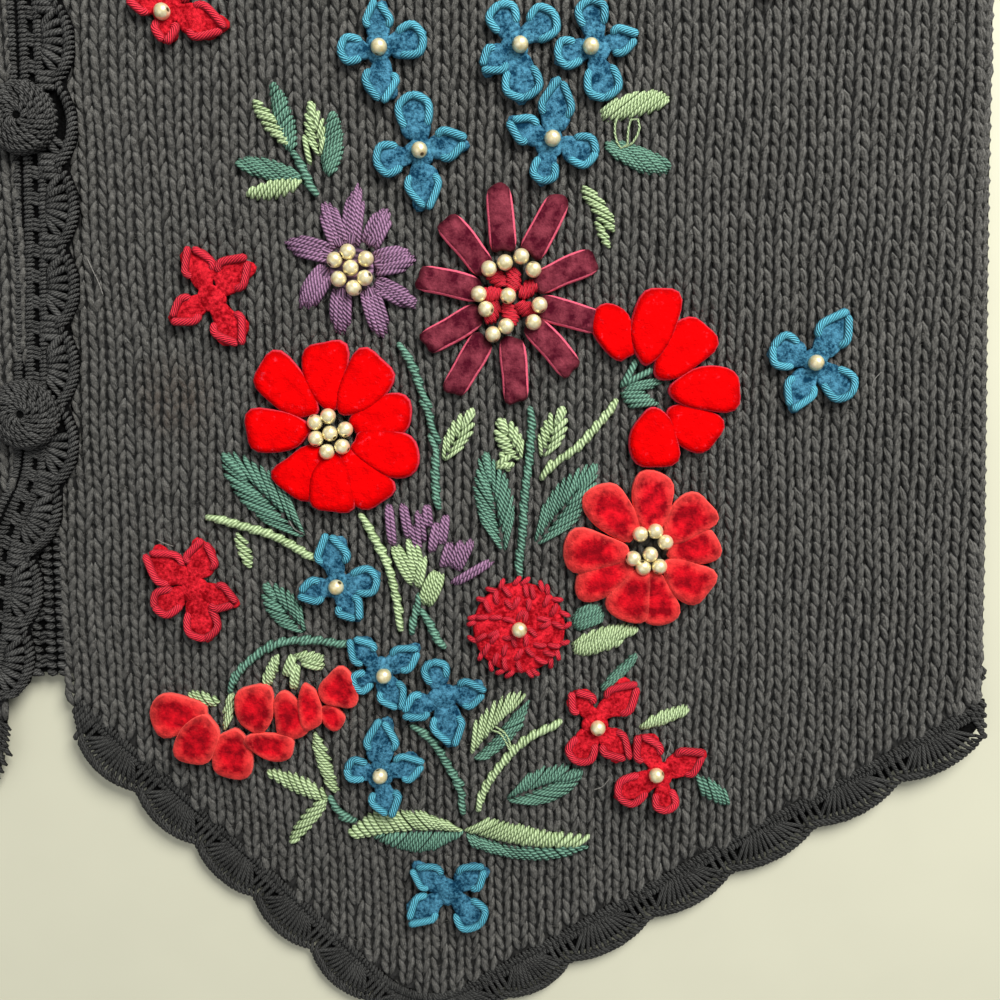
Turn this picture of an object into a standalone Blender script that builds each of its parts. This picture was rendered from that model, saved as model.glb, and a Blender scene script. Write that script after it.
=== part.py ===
"""A hand-knitted sweater vest with crocheted bands and flower applique, buttoned and laid flat.

Sizes are in millimetres, and become metres as points are placed. x runs towards the
wearer's left and is 0 at the centre front. h runs up from the hem point towards the neck,
and z up from the surface under the vest. Each front is drawn in its own half: u is the
distance from the centre front towards that front's side seam.
"""

import math

import bmesh
import bpy
from mathutils import Vector

MM = 0.001

# Layers of the folded-flat garment
GAP = 0.3
KNIT_T = 2.0
LAYER = KNIT_T + GAP

# Outline of the body
# Half way from the lowest shell of the hem to the top of the back neck band
MIDDLE_H = 297.5
SIDE_HEM_U = 238.5
UNDERARM = (230.0, 360.0)
ARMHOLE_IN = 58.0
ARMHOLE_CURVE_H = 90.0
SHOULDER_TIP = (170.0, 566.0)
NECK_POINT_U = 75.2
NECK_POINT_H = 590.0
BACK_NECK_DROP = 20.0
BACK_INSET = 0.8

# Pointed front hem: two straight runs meeting in a rounded point
HEM_START = (6.6, 80.9)
HEM_CORNER = (93.0, -5.1)
HEM_END = (239.5, 81.4)
HEM_ROUND = 25.0
LEFT_TRIM_U = 6.6
RIGHT_TRIM_U = 11.0
# The point lies on the surface; from DROP_LOW to DROP_HIGH the fronts climb onto the back
DROP_LOW = 44.0
DROP_HIGH = 74.0

# Arched back hem
BACK_HEM_U = 239.0
BACK_HEM_SIDE_H = 90.0
BACK_HEM_RISE = 36.0

# Crocheted hem edging: shells on a narrow foot
TRIM_FOOT = 8.0
SHELL_DEPTH = 3.5
SHELL_ROUND = 0.6
FRONT_STEPS = 6
BACK_STEPS = 4
# Shells along each stretch of the front hem, as (length from the start, shells so far)
HEM_SHELLS = ((0.0, 0.0), (83.0, 4.0), (163.7, 8.0), (290.0, 13.0))
BACK_SHELLS = 20
BACK_TRIM_SCALE = 0.8

# Crocheted button bands
BAND_HALF = 8.0
BAND_VALLEY = 5.2
BAND_SHELL = 19.0
BAND_STEPS = 3
UNDER_BAND_SCALE = 0.85
LEFT_BAND_FOOT_H = 97.6
# Centre of each band from the hem to the shoulder, as (u, h)
LEFT_BAND = (
    (-3.2, LEFT_BAND_FOOT_H),
    (-3.2, 200.0),
    (-3.2, 300.0),
    (-3.0, 362.0),
    (1.0, 396.0),
    (20.0, 449.0),
    (48.0, 521.0),
    (NECK_POINT_U, NECK_POINT_H),
)
RIGHT_BAND = (
    (13.0, 91.7),
    (8.4, 108.0),
    (5.4, 130.0),
    (-2.2, 148.0),
    (-4.2, 170.0),
    (-6.4, 230.0),
    (-6.4, 300.0),
    (-6.0, 368.0),
    (-1.0, 400.0),
    (20.0, 450.0),
    (48.0, 521.0),
    (NECK_POINT_U, NECK_POINT_H),
)
# Heights between which the bands bend, so that the knit beside them bends as closely
BAND_BENDS = ((85.0, 245.0), (350.0, 450.0))
# The buttonhole front is lifted over the band below it, from LIFT_OUT to LIFT_IN across
LIFT_OUT = 32.0
LIFT_IN = 14.0
LIFT_FOOT = (70.0, 95.0)
LIFT_TOP = (432.0, 470.0)

# Crocheted buttons
BUTTON_HS = (163.2, 233.5, 304.0, 372.0)
BUTTON_ACROSS = -4.6
BUTTON_R = 8.4
SHANK_R = 1.8
BUTTONHOLE_R = 2.4
BUTTON_SIDES = 14
# A hole in the lace of the buttonhole band, as (across, h, half width, half height)
LACE_HOLE = (-2.6, 112.5, 2.1, 4.2)

# Soft swells of the laid fronts
SWELL = 0.5
SWELL_X = 150.0
SWELL_H = 190.0
SWELL_FROM = (22.0, 60.0)

# Spacing of the folds' facets across the swelling fronts, and across the flat back
GRID = 24.0
BACK_GRID = 80.0

# Applique on the wearer's left front. Each row: x, h, radius, petals, how far out the valleys
# lie as a share of the radius, turn in degrees, height, and cloth
BLOSSOMS = {
    "blue_flower_1": (86.8, 250.1, 11.5, 4, 0.42, 12, 1.7, "blue"),
    "blue_flower_2": (96.2, 226.5, 11.5, 4, 0.42, 20, 1.7, "blue"),
    "blue_flower_3": (119.3, 250.9, 10.6, 4, 0.40, 2, 1.7, "blue"),
    "blue_flower_4": (138.4, 250.6, 10.6, 4, 0.40, 40, 1.7, "blue"),
    "blue_flower_5": (127.6, 228.4, 11.5, 4, 0.40, 22, 1.7, "blue"),
    "blue_flower_6": (192.7, 176.2, 11.8, 4, 0.42, 40, 1.7, "blue"),
    "blue_flower_7": (74.4, 120.4, 10.5, 4, 0.42, 15, 1.7, "blue"),
    "blue_flower_8": (85.2, 98.6, 9.4, 4, 0.42, 30, 1.7, "blue"),
    "blue_flower_9": (102.4, 91.2, 9.4, 4, 0.42, 10, 1.7, "blue"),
    "blue_flower_10": (84.6, 71.4, 11.0, 4, 0.42, 5, 1.7, "blue"),
    "blue_flower_11": (102.2, 37.7, 10.8, 4, 0.44, 42, 1.7, "blue"),
    "red_flower_1": (36.4, 259.5, 12.5, 4, 0.42, 35, 1.7, "red"),
    "red_flower_2": (45.0, 192.0, 11.5, 4, 0.42, 35, 1.7, "red"),
    "red_flower_3": (38.6, 119.7, 11.8, 5, 0.55, 20, 1.7, "red"),
    "red_flower_4": (139.6, 85.2, 10.0, 4, 0.42, 40, 1.7, "red"),
    "red_flower_5": (156.6, 71.4, 10.0, 4, 0.42, 42, 1.7, "red"),
    "red_flower_6": (178.5, 270.0, 11.5, 4, 0.42, 0, 1.7, "red"),
    "poppy_1": (74.0, 159.5, 21.5, 9, 0.78, 8, 3.0, "poppy_red"),
    "poppy_2": (153.5, 127.6, 20.0, 9, 0.78, 4, 3.0, "poppy_red"),
    "ribbon_flower": (117.5, 192.0, 23.5, 10, 0.52, 8, 2.4, "burgundy"),
    "daisy": (79.0, 198.8, 16.8, 9, 0.66, 10, 1.8, "violet"),
    "rosette": (120.3, 109.7, 12.6, 8, 0.94, 0, 2.2, "red"),
}
# Half-open blossoms. Each row: x, h, inner and outer radius, petals, first and last petal's
# edge in degrees, height, and cloth
FANS = {
    "side_poppy_1": (153.0, 171.5, 7.5, 21.0, 6, -107.0, 139.0, 2.6, "poppy_red"),
    "side_poppy_2": (43.2, 91.0, 3.5, 17.5, 3, 183.0, 297.0, 2.6, "poppy_red"),
    "side_poppy_3": (66.0, 103.0, 8.0, 19.5, 4, 222.0, 312.0, 2.6, "poppy_red"),
}
SAMPLES_PER_PETAL = 4
PETAL_POINT = 0.8
RIM_H = 0.55
CROWN_R = 0.55
FAN_VALLEY = 0.72
# A flower's seat: the usual gap, and a little for the knit's flat facets
SEAT = GAP + 0.1

COLOURS = {
    "knit": ((0.055, 0.054, 0.050), 0.95),
    "crochet": ((0.022, 0.022, 0.022), 0.9),
    "blue": ((0.035, 0.20, 0.29), 0.85),
    "red": ((0.62, 0.012, 0.03), 0.85),
    "poppy_red": ((0.75, 0.008, 0.012), 0.8),
    "burgundy": ((0.19, 0.018, 0.035), 0.75),
    "violet": ((0.14, 0.085, 0.16), 0.85),
}


def clear_scene():
    for thing in list(bpy.data.objects):
        bpy.data.objects.remove(thing, do_unlink=True)


def make_materials():
    made = {}
    for name, (colour, roughness) in COLOURS.items():
        made[name] = bpy.data.materials.new(name)
        made[name].use_nodes = True
        shader = made[name].node_tree.nodes["Principled BSDF"]
        shader.inputs["Base Color"].default_value = (*colour, 1.0)
        shader.inputs["Roughness"].default_value = roughness
        made[name].diffuse_color = (*colour, 1.0)
    return made


def place(x, h, z):
    """A point in metres: the middle of the vest's length is at y = 0."""
    return Vector((x, h - MIDDLE_H, z)) * MM


def ramp(value, low, high):
    return min(1.0, max(0.0, (value - low) / (high - low)))


class Path:
    """A plane curve through close (u, h) points, read by the length along it."""

    def __init__(self, points):
        self.points = [Vector(p) for p in points]
        self.marks = [0.0]
        for a, b in zip(self.points, self.points[1:]):
            self.marks.append(self.marks[-1] + (b - a).length)
        self.length = self.marks[-1]

    def point(self, s):
        s = min(max(s, 0.0), self.length)
        k = next(i for i, mark in enumerate(self.marks[1:]) if s <= mark)
        span = self.marks[k + 1] - self.marks[k]
        return self.points[k].lerp(self.points[k + 1], (s - self.marks[k]) / span)

    def along(self, s, reach=2.0):
        return (self.point(s + reach) - self.point(s - reach)).normalized()

    def right(self, s):
        """The unit vector to the right of travel."""
        t = self.along(s)
        return Vector((t.y, -t.x))

    def length_at_h(self, h):
        """The length at which a path that only climbs reaches height h."""
        low, high = 0.0, self.length
        for _ in range(40):
            mid = (low + high) / 2
            low, high = (mid, high) if self.point(mid).y < h else (low, mid)
        return low


def smooth_path(points, steps=8):
    """A Catmull-Rom curve through the points, with straight tangents at both ends."""
    given = [Vector(p) for p in points]
    given = [2 * given[0] - given[1]] + given + [2 * given[-1] - given[-2]]
    curve = []
    for a, b, c, d in zip(given, given[1:], given[2:], given[3:]):
        for k in range(steps):
            t = k / steps
            curve.append(
                0.5 * (2 * b + (c - a) * t + (2 * a - 5 * b + 4 * c - d) * t**2
                       + (3 * b - a - 3 * c + d) * t**3)
            )
    return Path(curve + [given[-2]])


def hem_path(start_u):
    """The line that the hem's notches touch, from the centre front to the side seam."""
    start, corner, end = Vector(HEM_START), Vector(HEM_CORNER), Vector(HEM_END)
    down, up = (corner - start).normalized(), (end - corner).normalized()
    start += down * (start_u - start.x) / down.x
    low_angle = math.atan2(down.y, down.x)
    high_angle = math.atan2(up.y, up.x)
    tangent = HEM_ROUND * math.tan((high_angle - low_angle) / 2)
    centre = corner - down * tangent + Vector((-down.y, down.x)) * HEM_ROUND
    points = [start]
    arc_steps = 14
    for k in range(arc_steps + 1):
        a = low_angle + (high_angle - low_angle) * k / arc_steps
        points.append(centre + Vector((math.sin(a), -math.cos(a))) * HEM_ROUND)
    return Path(points + [end])


def back_hem_path():
    steps = 40
    points = []
    for k in range(steps + 1):
        x = BACK_HEM_U * (2 * k / steps - 1)
        points.append((x, BACK_HEM_SIDE_H + BACK_HEM_RISE * (1 - (x / BACK_HEM_U) ** 2)))
    return Path(points)


def back_neck_path():
    """An arc from the wearer's right shoulder down and up to the left one."""
    radius = (NECK_POINT_U**2 + BACK_NECK_DROP**2) / (2 * BACK_NECK_DROP)
    half = math.asin(NECK_POINT_U / radius)
    centre_h = NECK_POINT_H - BACK_NECK_DROP + radius
    steps = 16
    points = []
    for k in range(steps + 1):
        a = half * (2 * k / steps - 1)
        points.append((radius * math.sin(a), centre_h - radius * math.cos(a)))
    return Path(points)


def swell(u, h):
    """Height of the soft swells at a point of a front, 0 along the button bands."""
    wave = math.sin(2 * math.pi * (u / SWELL_X + 0.2)) * math.sin(2 * math.pi * (h / SWELL_H + 0.1))
    return SWELL * (1 + wave) * ramp(u, *SWELL_FROM)


def left_under(u, h):
    """Height of the underside of the wearer's left front."""
    return LAYER * ramp(h, DROP_LOW, DROP_HIGH) + swell(u, h)


def right_under(u, h):
    """The same for the right front, which also climbs over the left one's band."""
    lift = ramp(LIFT_OUT - u, 0.0, LIFT_OUT - LIFT_IN)
    lift *= ramp(h, *LIFT_FOOT) * (1 - ramp(h, *LIFT_TOP))
    return left_under(u, h) + LAYER * lift


def add_object(name, bm, material, spot=(0.0, 0.0, 0.0)):
    bmesh.ops.triangulate(bm, faces=bm.faces[:])
    bmesh.ops.recalc_face_normals(bm, faces=bm.faces[:])
    mesh = bpy.data.meshes.new(name)
    bm.to_mesh(mesh)
    bm.free()
    mesh.shade_smooth()
    mesh.set_sharp_from_angle(angle=math.radians(40))
    made = bpy.data.objects.new(name, mesh)
    made.location = spot
    mesh.materials.append(material)
    bpy.context.collection.objects.link(made)
    return made


def cut_lines(bm, axis, values):
    """Cuts the flat sheet along lines across one axis, 0 for x and 1 for y."""
    for value in values:
        point, normal = [0.0, 0.0, 0.0], [0.0, 0.0, 0.0]
        point[axis], normal[axis] = value, 1.0
        everything = bm.verts[:] + bm.edges[:] + bm.faces[:]
        bmesh.ops.bisect_plane(bm, geom=everything, dist=1e-6, plane_co=point, plane_no=normal)


def grid_values(low, high, spacing):
    count = max(1, round((high - low) / spacing))
    return [low + (high - low) * (k + 0.5) / count for k in range(count)]


def panel(name, outline, under, material, side=1, extra_u=(), extra_h=(), spacing=GRID):
    """A knitted piece: its outline filled, cut into a grid, laid at its height and thickened."""
    bm = bmesh.new()
    corners = [bm.verts.new(place(side * u, h, 0.0)) for u, h in outline]
    bm.faces.new(corners)
    us = [u for u, _ in outline]
    hs = [h for _, h in outline]
    u_lines = grid_values(min(us), max(us), spacing) + list(extra_u)
    h_lines = grid_values(min(hs), max(hs), spacing) + list(extra_h)
    cut_lines(bm, 0, [side * u * MM for u in u_lines])
    cut_lines(bm, 1, [(h - MIDDLE_H) * MM for h in h_lines])
    bmesh.ops.triangulate(bm, faces=bm.faces[:])
    for v in bm.verts:
        v.co.z = under(side * v.co.x / MM, v.co.y / MM + MIDDLE_H) * MM
    raised = bmesh.ops.extrude_face_region(bm, geom=bm.faces[:], use_keep_orig=True)
    upper = [v for v in raised["geom"] if isinstance(v, bmesh.types.BMVert)]
    bmesh.ops.translate(bm, verts=upper, vec=(0.0, 0.0, KNIT_T * MM))
    return add_object(name, bm, material)


def loft(name, rings, material):
    """A closed strip through rings of equal counts, with flat ends."""
    bm = bmesh.new()
    sections = [[bm.verts.new(p) for p in ring] for ring in rings]
    for a, b in zip(sections, sections[1:]):
        for k in range(len(a)):
            n = (k + 1) % len(a)
            bm.faces.new((a[k], a[n], b[n], b[k]))
    bm.faces.new(sections[0])
    bm.faces.new(list(reversed(sections[-1])))
    return add_object(name, bm, material)


def half_round(turns, power=SHELL_ROUND):
    """0 at each notch and 1 at each shell's middle; turns counts shells along the edge."""
    return abs(math.sin(math.pi * turns)) ** power


def trim_profile(out, scale):
    """Section of the hem edging as (across, height): a corded foot, then the shell."""
    foot = -TRIM_FOOT
    return (
        (foot, 0.0),
        (foot, 1.7 * scale),
        (foot + 2.0, 2.3 * scale),
        (foot + 4.0, 1.7 * scale),
        ((foot + 4.0 + out) / 2, 2.5 * scale),
        (out - 0.5, 1.6 * scale),
        (out, 0.0),
    )


def band_profile(edge, scale):
    """Section of a button band: a cord each side of an open-worked middle."""
    return (
        (-BAND_HALF, 0.0),
        (-BAND_HALF, 1.6 * scale),
        (-BAND_HALF + 1.7, 2.2 * scale),
        (-BAND_HALF + 4.2, 1.5 * scale),
        (edge - 4.0, 1.5 * scale),
        (edge - 1.8, 2.3 * scale),
        (edge, 1.2 * scale),
        (edge - 0.4, 0.0),
    )


def shell_lengths(marks, steps):
    """Lengths along the hem for each step of each shell, from (length, shells) marks."""
    found = []
    for step in range(round(marks[-1][1] * steps) + 1):
        turns = step / steps
        k = max(i for i, mark in enumerate(marks[:-1]) if turns >= mark[1])
        (s0, n0), (s1, n1) = marks[k], marks[k + 1]
        found.append((s0 + (s1 - s0) * (turns - n0) / (n1 - n0), turns))
    return found


def hem_trim(name, path, marks, under, material, side=1, scale=1.0, steps=FRONT_STEPS):
    """The scalloped edging, outwards to the right of the path, cut upright at both ends."""
    rings = []
    stations = shell_lengths(marks, steps)
    for s, turns in stations:
        spot, right, along = path.point(s), path.right(s), path.along(s)
        out = SHELL_DEPTH * half_round(turns)
        ends = turns in (stations[0][1], stations[-1][1])
        base = under(spot.x, spot.y)
        ring = []
        for across, height in trim_profile(out, scale):
            p = spot + right * across
            if ends:
                p += along * (spot.x - p.x) / along.x
            ring.append(place(side * p.x, p.y, base + height))
        rings.append(ring)
    return loft(name, rings, material)


def band_lengths(path):
    """Lengths along a button band, a whole number of shells from end to end."""
    total = round(path.length / BAND_SHELL) * BAND_STEPS
    return [path.length * step / total for step in range(total + 1)]


def band(name, path, under, material, side=1, scale=1.0):
    """A button band cut level at its foot; its free scalloped edge is left of the path."""
    rings = []
    for step, s in enumerate(band_lengths(path)):
        spot, right = path.point(s), path.right(s)
        edge = BAND_VALLEY + (BAND_HALF - BAND_VALLEY) * half_round(step / BAND_STEPS)
        base = under(spot.x - BAND_HALF, spot.y)
        ring = []
        for across, height in band_profile(edge, scale):
            p = spot - right * across
            if step == 0:
                p += path.along(0.0) * (spot.y - p.y) / path.along(0.0).y
            ring.append(place(side * p.x, p.y, base + height))
        rings.append(ring)
    return loft(name, rings, material)


def knit_edge(path, s_values, offset):
    return [tuple(path.point(s) + path.right(s) * offset) for s in s_values]


def spaced(path, step):
    count = max(1, round(path.length / step))
    return [path.length * k / count for k in range(count + 1)]


def armhole_points():
    """From the underarm in and up to the shoulder tip."""
    steps = 9
    points = []
    for k in range(steps + 1):
        a = math.pi / 2 * k / steps
        points.append((
            UNDERARM[0] - ARMHOLE_IN * math.sin(a),
            UNDERARM[1] + ARMHOLE_CURVE_H * (1 - math.cos(a)),
        ))
    return points + [SHOULDER_TIP]


def hem_edge(start_u):
    """The knitted hem edge, inside the edging, from its upright start to the side seam."""
    path = hem_path(start_u)
    inset = TRIM_FOOT + GAP
    s_values = [path.length * k / 26 for k in range(27)]
    edge = [p for p in knit_edge(path, s_values, -inset) if p[0] > start_u + 12]
    first, last = path.along(0.0), path.along(path.length)
    rise = inset / first.x
    start = (start_u, path.point(0.0).y + rise)
    end_rise = inset / last.x
    slope = last.y / last.x
    end = (SIDE_HEM_U, path.point(path.length).y + end_rise + slope * (SIDE_HEM_U - HEM_END[0]))
    edge = [p for p in edge if p[0] < SIDE_HEM_U - 8]
    return [start] + edge + [end]


def front_outline(path, trim_u, foot_h):
    """One front from the centre hem round the side, armhole, shoulder and neck edge."""
    hem = hem_edge(trim_u)
    lengths = [
        s for k, s in enumerate(band_lengths(path))
        if k % BAND_STEPS == 0 or any(low < path.point(s).y < high for low, high in BAND_BENDS)
    ]
    neck = knit_edge(path, lengths, BAND_HALF + GAP)
    start, along = Vector(neck[0]), path.along(0.0)
    start += along * (foot_h - GAP - start.y) / along.y
    foot = [tuple(start), (trim_u, foot_h - GAP)]
    return hem + armhole_points() + list(reversed(neck[1:])) + foot


def back_outline():
    hem = back_hem_path()
    edge = knit_edge(hem, spaced(hem, 24.0), -(TRIM_FOOT + GAP))
    side_u = SIDE_HEM_U - BACK_INSET
    edge = [p for p in edge if abs(p[0]) < side_u - 6]
    side_h = BACK_HEM_SIDE_H + TRIM_FOOT + GAP + 1.5
    half = [(side_u, side_h)]
    half += [(u - BACK_INSET, h) for u, h in armhole_points()]
    half.append((NECK_POINT_U + BAND_HALF, NECK_POINT_H - 2.5))
    neck = back_neck_path()
    neck_edge = knit_edge(neck, spaced(neck, 16.0), BAND_HALF + GAP)
    mirrored = [(-u, h) for u, h in reversed(half)]
    return edge + half + list(reversed(neck_edge)) + mirrored


def back_neck_band(material):
    """The band's short stretch across the back neck, plain-edged, on the surface."""
    path = back_neck_path()
    steps = 24
    rings = []
    for step in range(steps + 1):
        s = path.length * step / steps
        spot, right = path.point(s), path.right(s)
        rings.append([
            place(*(spot - right * across), height)
            for across, height in band_profile(BAND_HALF, UNDER_BAND_SCALE)
        ])
    return loft("back_neck_band", rings, material)


def turned(bm, profile, sides, centre):
    """Adds a solid turned about an upright axis; the profile runs up as (radius, height)."""
    rings = []
    for radius, height in profile:
        rings.append([
            bm.verts.new(place(
                centre[0] + radius * math.cos(2 * math.pi * k / sides),
                centre[1] + radius * math.sin(2 * math.pi * k / sides),
                height,
            ))
            for k in range(sides)
        ])
    for a, b in zip(rings, rings[1:]):
        for k in range(sides):
            n = (k + 1) % sides
            bm.faces.new((a[k], a[n], b[n], b[k]))
    bm.faces.new(list(reversed(rings[0])))
    bm.faces.new(rings[-1])


def button_profile(foot, under):
    """A crocheted disc in three rounds over a shank, its middle dimpled."""
    r = BUTTON_R
    return (
        (SHANK_R, foot),
        (SHANK_R, under),
        (r - 2.2, under + 0.1),
        (r - 0.2, under + 1.2),
        (r, under + 2.4),
        (r - 1.3, under + 3.5),
        (r - 2.4, under + 3.5),
        (r - 3.8, under + 4.2),
        (r - 5.0, under + 4.1),
        (r - 6.4, under + 4.4),
        (0.9, under + 3.9),
    )


def button_centres(path):
    spots = []
    for h in BUTTON_HS:
        s = path.length_at_h(h)
        spots.append(path.point(s) - path.right(s) * BUTTON_ACROSS)
    return [(-p.x, p.y) for p in spots]


def buttons_and_holes(path, made_band, material):
    """Buttons sewn to the lower band, standing through the openings of the upper one."""
    top = 2 * LAYER
    foot = LAYER + KNIT_T + GAP
    under = top + 2.2 + GAP + 0.1
    cutter = bmesh.new()
    for number, centre in enumerate(button_centres(path), 1):
        bm = bmesh.new()
        turned(bm, button_profile(foot, under), BUTTON_SIDES, centre)
        add_object(f"button_{number}", bm, material)
        turned(cutter, ((BUTTONHOLE_R, top - 1), (BUTTONHOLE_R, top + 4)), 12, centre)
    across, h, half_w, half_h = LACE_HOLE
    middle = path.point(path.length_at_h(h))
    oval = bmesh.new()
    turned(oval, ((1.0, top - 1.5), (1.0, top + 4)), 12, (0.0, MIDDLE_H))
    for v in oval.verts:
        v.co.x = v.co.x * half_w - (middle.x + across) * MM
        v.co.y = v.co.y * half_h + (h - MIDDLE_H) * MM
    hole_mesh = bpy.data.meshes.new("lace_hole")
    oval.to_mesh(hole_mesh)
    oval.free()
    cutter.from_mesh(hole_mesh)
    holes = add_object("buttonhole_cutter", cutter, material)
    holes.hide_render = True
    holes.display_type = "WIRE"
    cut = made_band.modifiers.new("buttonholes", "BOOLEAN")
    cut.operation = "DIFFERENCE"
    cut.object = holes


def petal_outline(radius, petals, valley, turn):
    """Points round a blossom: rounded petals with valleys between."""
    count = petals * SAMPLES_PER_PETAL
    points = []
    for k in range(count):
        a = 2 * math.pi * k / count
        lobe = abs(math.cos(petals * a / 2)) ** PETAL_POINT
        r = radius * (valley + (1 - valley) * lobe)
        a += math.radians(turn)
        points.append(Vector((r * math.cos(a), r * math.sin(a))))
    return points


def on_knit(x, h, lift):
    """A point over the wearer's left front, lift above its seat on the knit."""
    return place(x, h, left_under(x, h) + KNIT_T + SEAT + lift)


def fan(name, row, material):
    """A half-open blossom: petals side by side round part of a ring."""
    x, h, inner, outer, petals, start, end, height, _ = row
    rings = []
    count = petals * SAMPLES_PER_PETAL
    for k in range(count + 1):
        a = math.radians(start + (end - start) * k / count)
        across = Vector((math.cos(a), math.sin(a)))
        lobe = FAN_VALLEY + (1 - FAN_VALLEY) * half_round(k / SAMPLES_PER_PETAL)
        far = inner + (outer - inner) * lobe
        rim = height * RIM_H
        section = ((inner, 0.0), (inner, rim), ((inner + far) / 2, height), (far, rim), (far, 0.0))
        rings.append([on_knit(x + across.x * r, h + across.y * r, lift) for r, lift in section])
    return loft(name, rings, material)


def blossom(name, row, material):
    """One applique flower: its underside follows the knit, its petals dome over it."""
    x, h, radius, petals, valley, turn, height, _ = row
    outline = petal_outline(radius, petals, valley, turn)
    bm = bmesh.new()

    def vertex(p, lift):
        return bm.verts.new(on_knit(x + p.x, h + p.y, lift) - place(x, h, 0.0))

    low = [vertex(p, 0.0) for p in outline]
    rim = [vertex(p * 0.97, height * RIM_H) for p in outline]
    crown = [vertex(p * CROWN_R, height) for p in outline]
    base, heart = vertex(Vector((0, 0)), 0.0), vertex(Vector((0, 0)), height * 0.7)
    count = len(outline)
    for k in range(count):
        n = (k + 1) % count
        bm.faces.new((low[k], low[n], rim[n], rim[k]))
        bm.faces.new((rim[k], rim[n], crown[n], crown[k]))
        bm.faces.new((crown[k], crown[n], heart))
        bm.faces.new((low[n], low[k], base))
    return add_object(name, bm, material, spot=place(x, h, 0.0))


def build():
    clear_scene()
    materials = make_materials()
    knit, crochet = materials["knit"], materials["crochet"]
    left_path, right_path = smooth_path(LEFT_BAND), smooth_path(RIGHT_BAND)
    drop = (DROP_LOW, DROP_HIGH)

    panel("back_panel", back_outline(), lambda u, h: 0.0, knit, spacing=BACK_GRID)
    left = front_outline(left_path, LEFT_TRIM_U, LEFT_BAND_FOOT_H)
    panel("left_front", left, left_under, knit, extra_h=drop)
    right = front_outline(right_path, RIGHT_TRIM_U, RIGHT_BAND[0][1])
    lift_lines = (*drop, *LIFT_FOOT, *LIFT_TOP)
    panel("right_front", right, right_under, knit, -1, (LIFT_OUT, LIFT_IN), lift_lines)

    band("left_button_band", left_path, lambda u, h: LAYER, crochet, 1, UNDER_BAND_SCALE)
    upper = band("right_buttonhole_band", right_path, right_under, crochet, -1)
    buttons_and_holes(right_path, upper, crochet)
    back_neck_band(crochet)

    for name, start_u, under, side in (
        ("left_front_hem_trim", LEFT_TRIM_U, left_under, 1),
        ("right_front_hem_trim", RIGHT_TRIM_U, right_under, -1),
    ):
        path = hem_path(start_u)
        marks = (*HEM_SHELLS[:-1], (path.length, HEM_SHELLS[-1][1]))
        hem_trim(name, path, marks, under, crochet, side)
    path = back_hem_path()
    marks = ((0.0, 0.0), (path.length, BACK_SHELLS))
    scale, steps = BACK_TRIM_SCALE, BACK_STEPS
    hem_trim("back_hem_trim", path, marks, lambda u, h: 0.0, crochet, 1, scale, steps)

    for name, row in BLOSSOMS.items():
        blossom(name, row, materials[row[-1]])
    for name, row in FANS.items():
        fan(name, row, materials[row[-1]])


build()
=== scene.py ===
"""The looks of a hand-knitted sweater vest, laid flat: knitting, crochet, velvet, felt and beads.

Sizes are in millimetres, and become metres as points are placed. x runs towards the wearer's
left and is 0 at the centre front. h runs up from the hem point towards the neck, and z up
from the surface. Each front is drawn in its own half: u is the distance from the centre
front towards that front's side seam.
"""

import math
import random

import bpy
import numpy as np
from mathutils import Euler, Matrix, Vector
from mathutils.bvhtree import BVHTree


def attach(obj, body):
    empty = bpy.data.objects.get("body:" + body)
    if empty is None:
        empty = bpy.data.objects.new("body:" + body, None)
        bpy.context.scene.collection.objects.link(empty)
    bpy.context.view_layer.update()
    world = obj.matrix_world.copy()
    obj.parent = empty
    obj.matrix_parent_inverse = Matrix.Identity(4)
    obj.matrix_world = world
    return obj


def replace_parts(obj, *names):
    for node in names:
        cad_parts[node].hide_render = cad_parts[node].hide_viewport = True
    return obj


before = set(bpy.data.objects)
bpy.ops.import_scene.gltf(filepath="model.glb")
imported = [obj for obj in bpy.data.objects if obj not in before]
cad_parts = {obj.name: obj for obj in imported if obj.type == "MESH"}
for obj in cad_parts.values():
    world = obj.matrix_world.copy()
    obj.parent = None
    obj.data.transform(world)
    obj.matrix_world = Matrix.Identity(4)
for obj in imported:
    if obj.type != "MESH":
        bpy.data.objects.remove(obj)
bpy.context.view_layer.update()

MM = 0.001
MIDDLE_H = 297.5

# Layers of the laid garment, and the heights between which a front rises onto the back
GAP = 0.3
KNIT_T = 2.0
LAYER = KNIT_T + GAP
SEAT = GAP + 0.1
DROP = (44.0, 74.0)

# Soft swells of the laid fronts
SWELL = 0.5
SWELL_X = 150.0
SWELL_H = 190.0
SWELL_FROM = (22.0, 60.0)

# The buttonhole front climbs over the band below it
LIFT_ACROSS = (14.0, 32.0)
LIFT_FOOT = (70.0, 95.0)
LIFT_TOP = (432.0, 470.0)

# Pointed front hem and arched back hem
HEM_START = (6.6, 80.9)
HEM_CORNER = (93.0, -5.1)
HEM_END = (239.5, 81.4)
HEM_ROUND = 25.0
LEFT_TRIM_U = 6.6
RIGHT_TRIM_U = 11.0
BACK_HEM_U = 239.0
BACK_HEM_SIDE_H = 90.0
BACK_HEM_RISE = 36.0
HEM_SHELLS = ((0.0, 0.0), (83.0, 4.0), (163.7, 8.0), (290.0, 13.0))
BACK_SHELLS = 20
BACK_TRIM_SCALE = 0.8
SHELL_DEPTH = 3.5
SHELL_ROUND = 0.6

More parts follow.
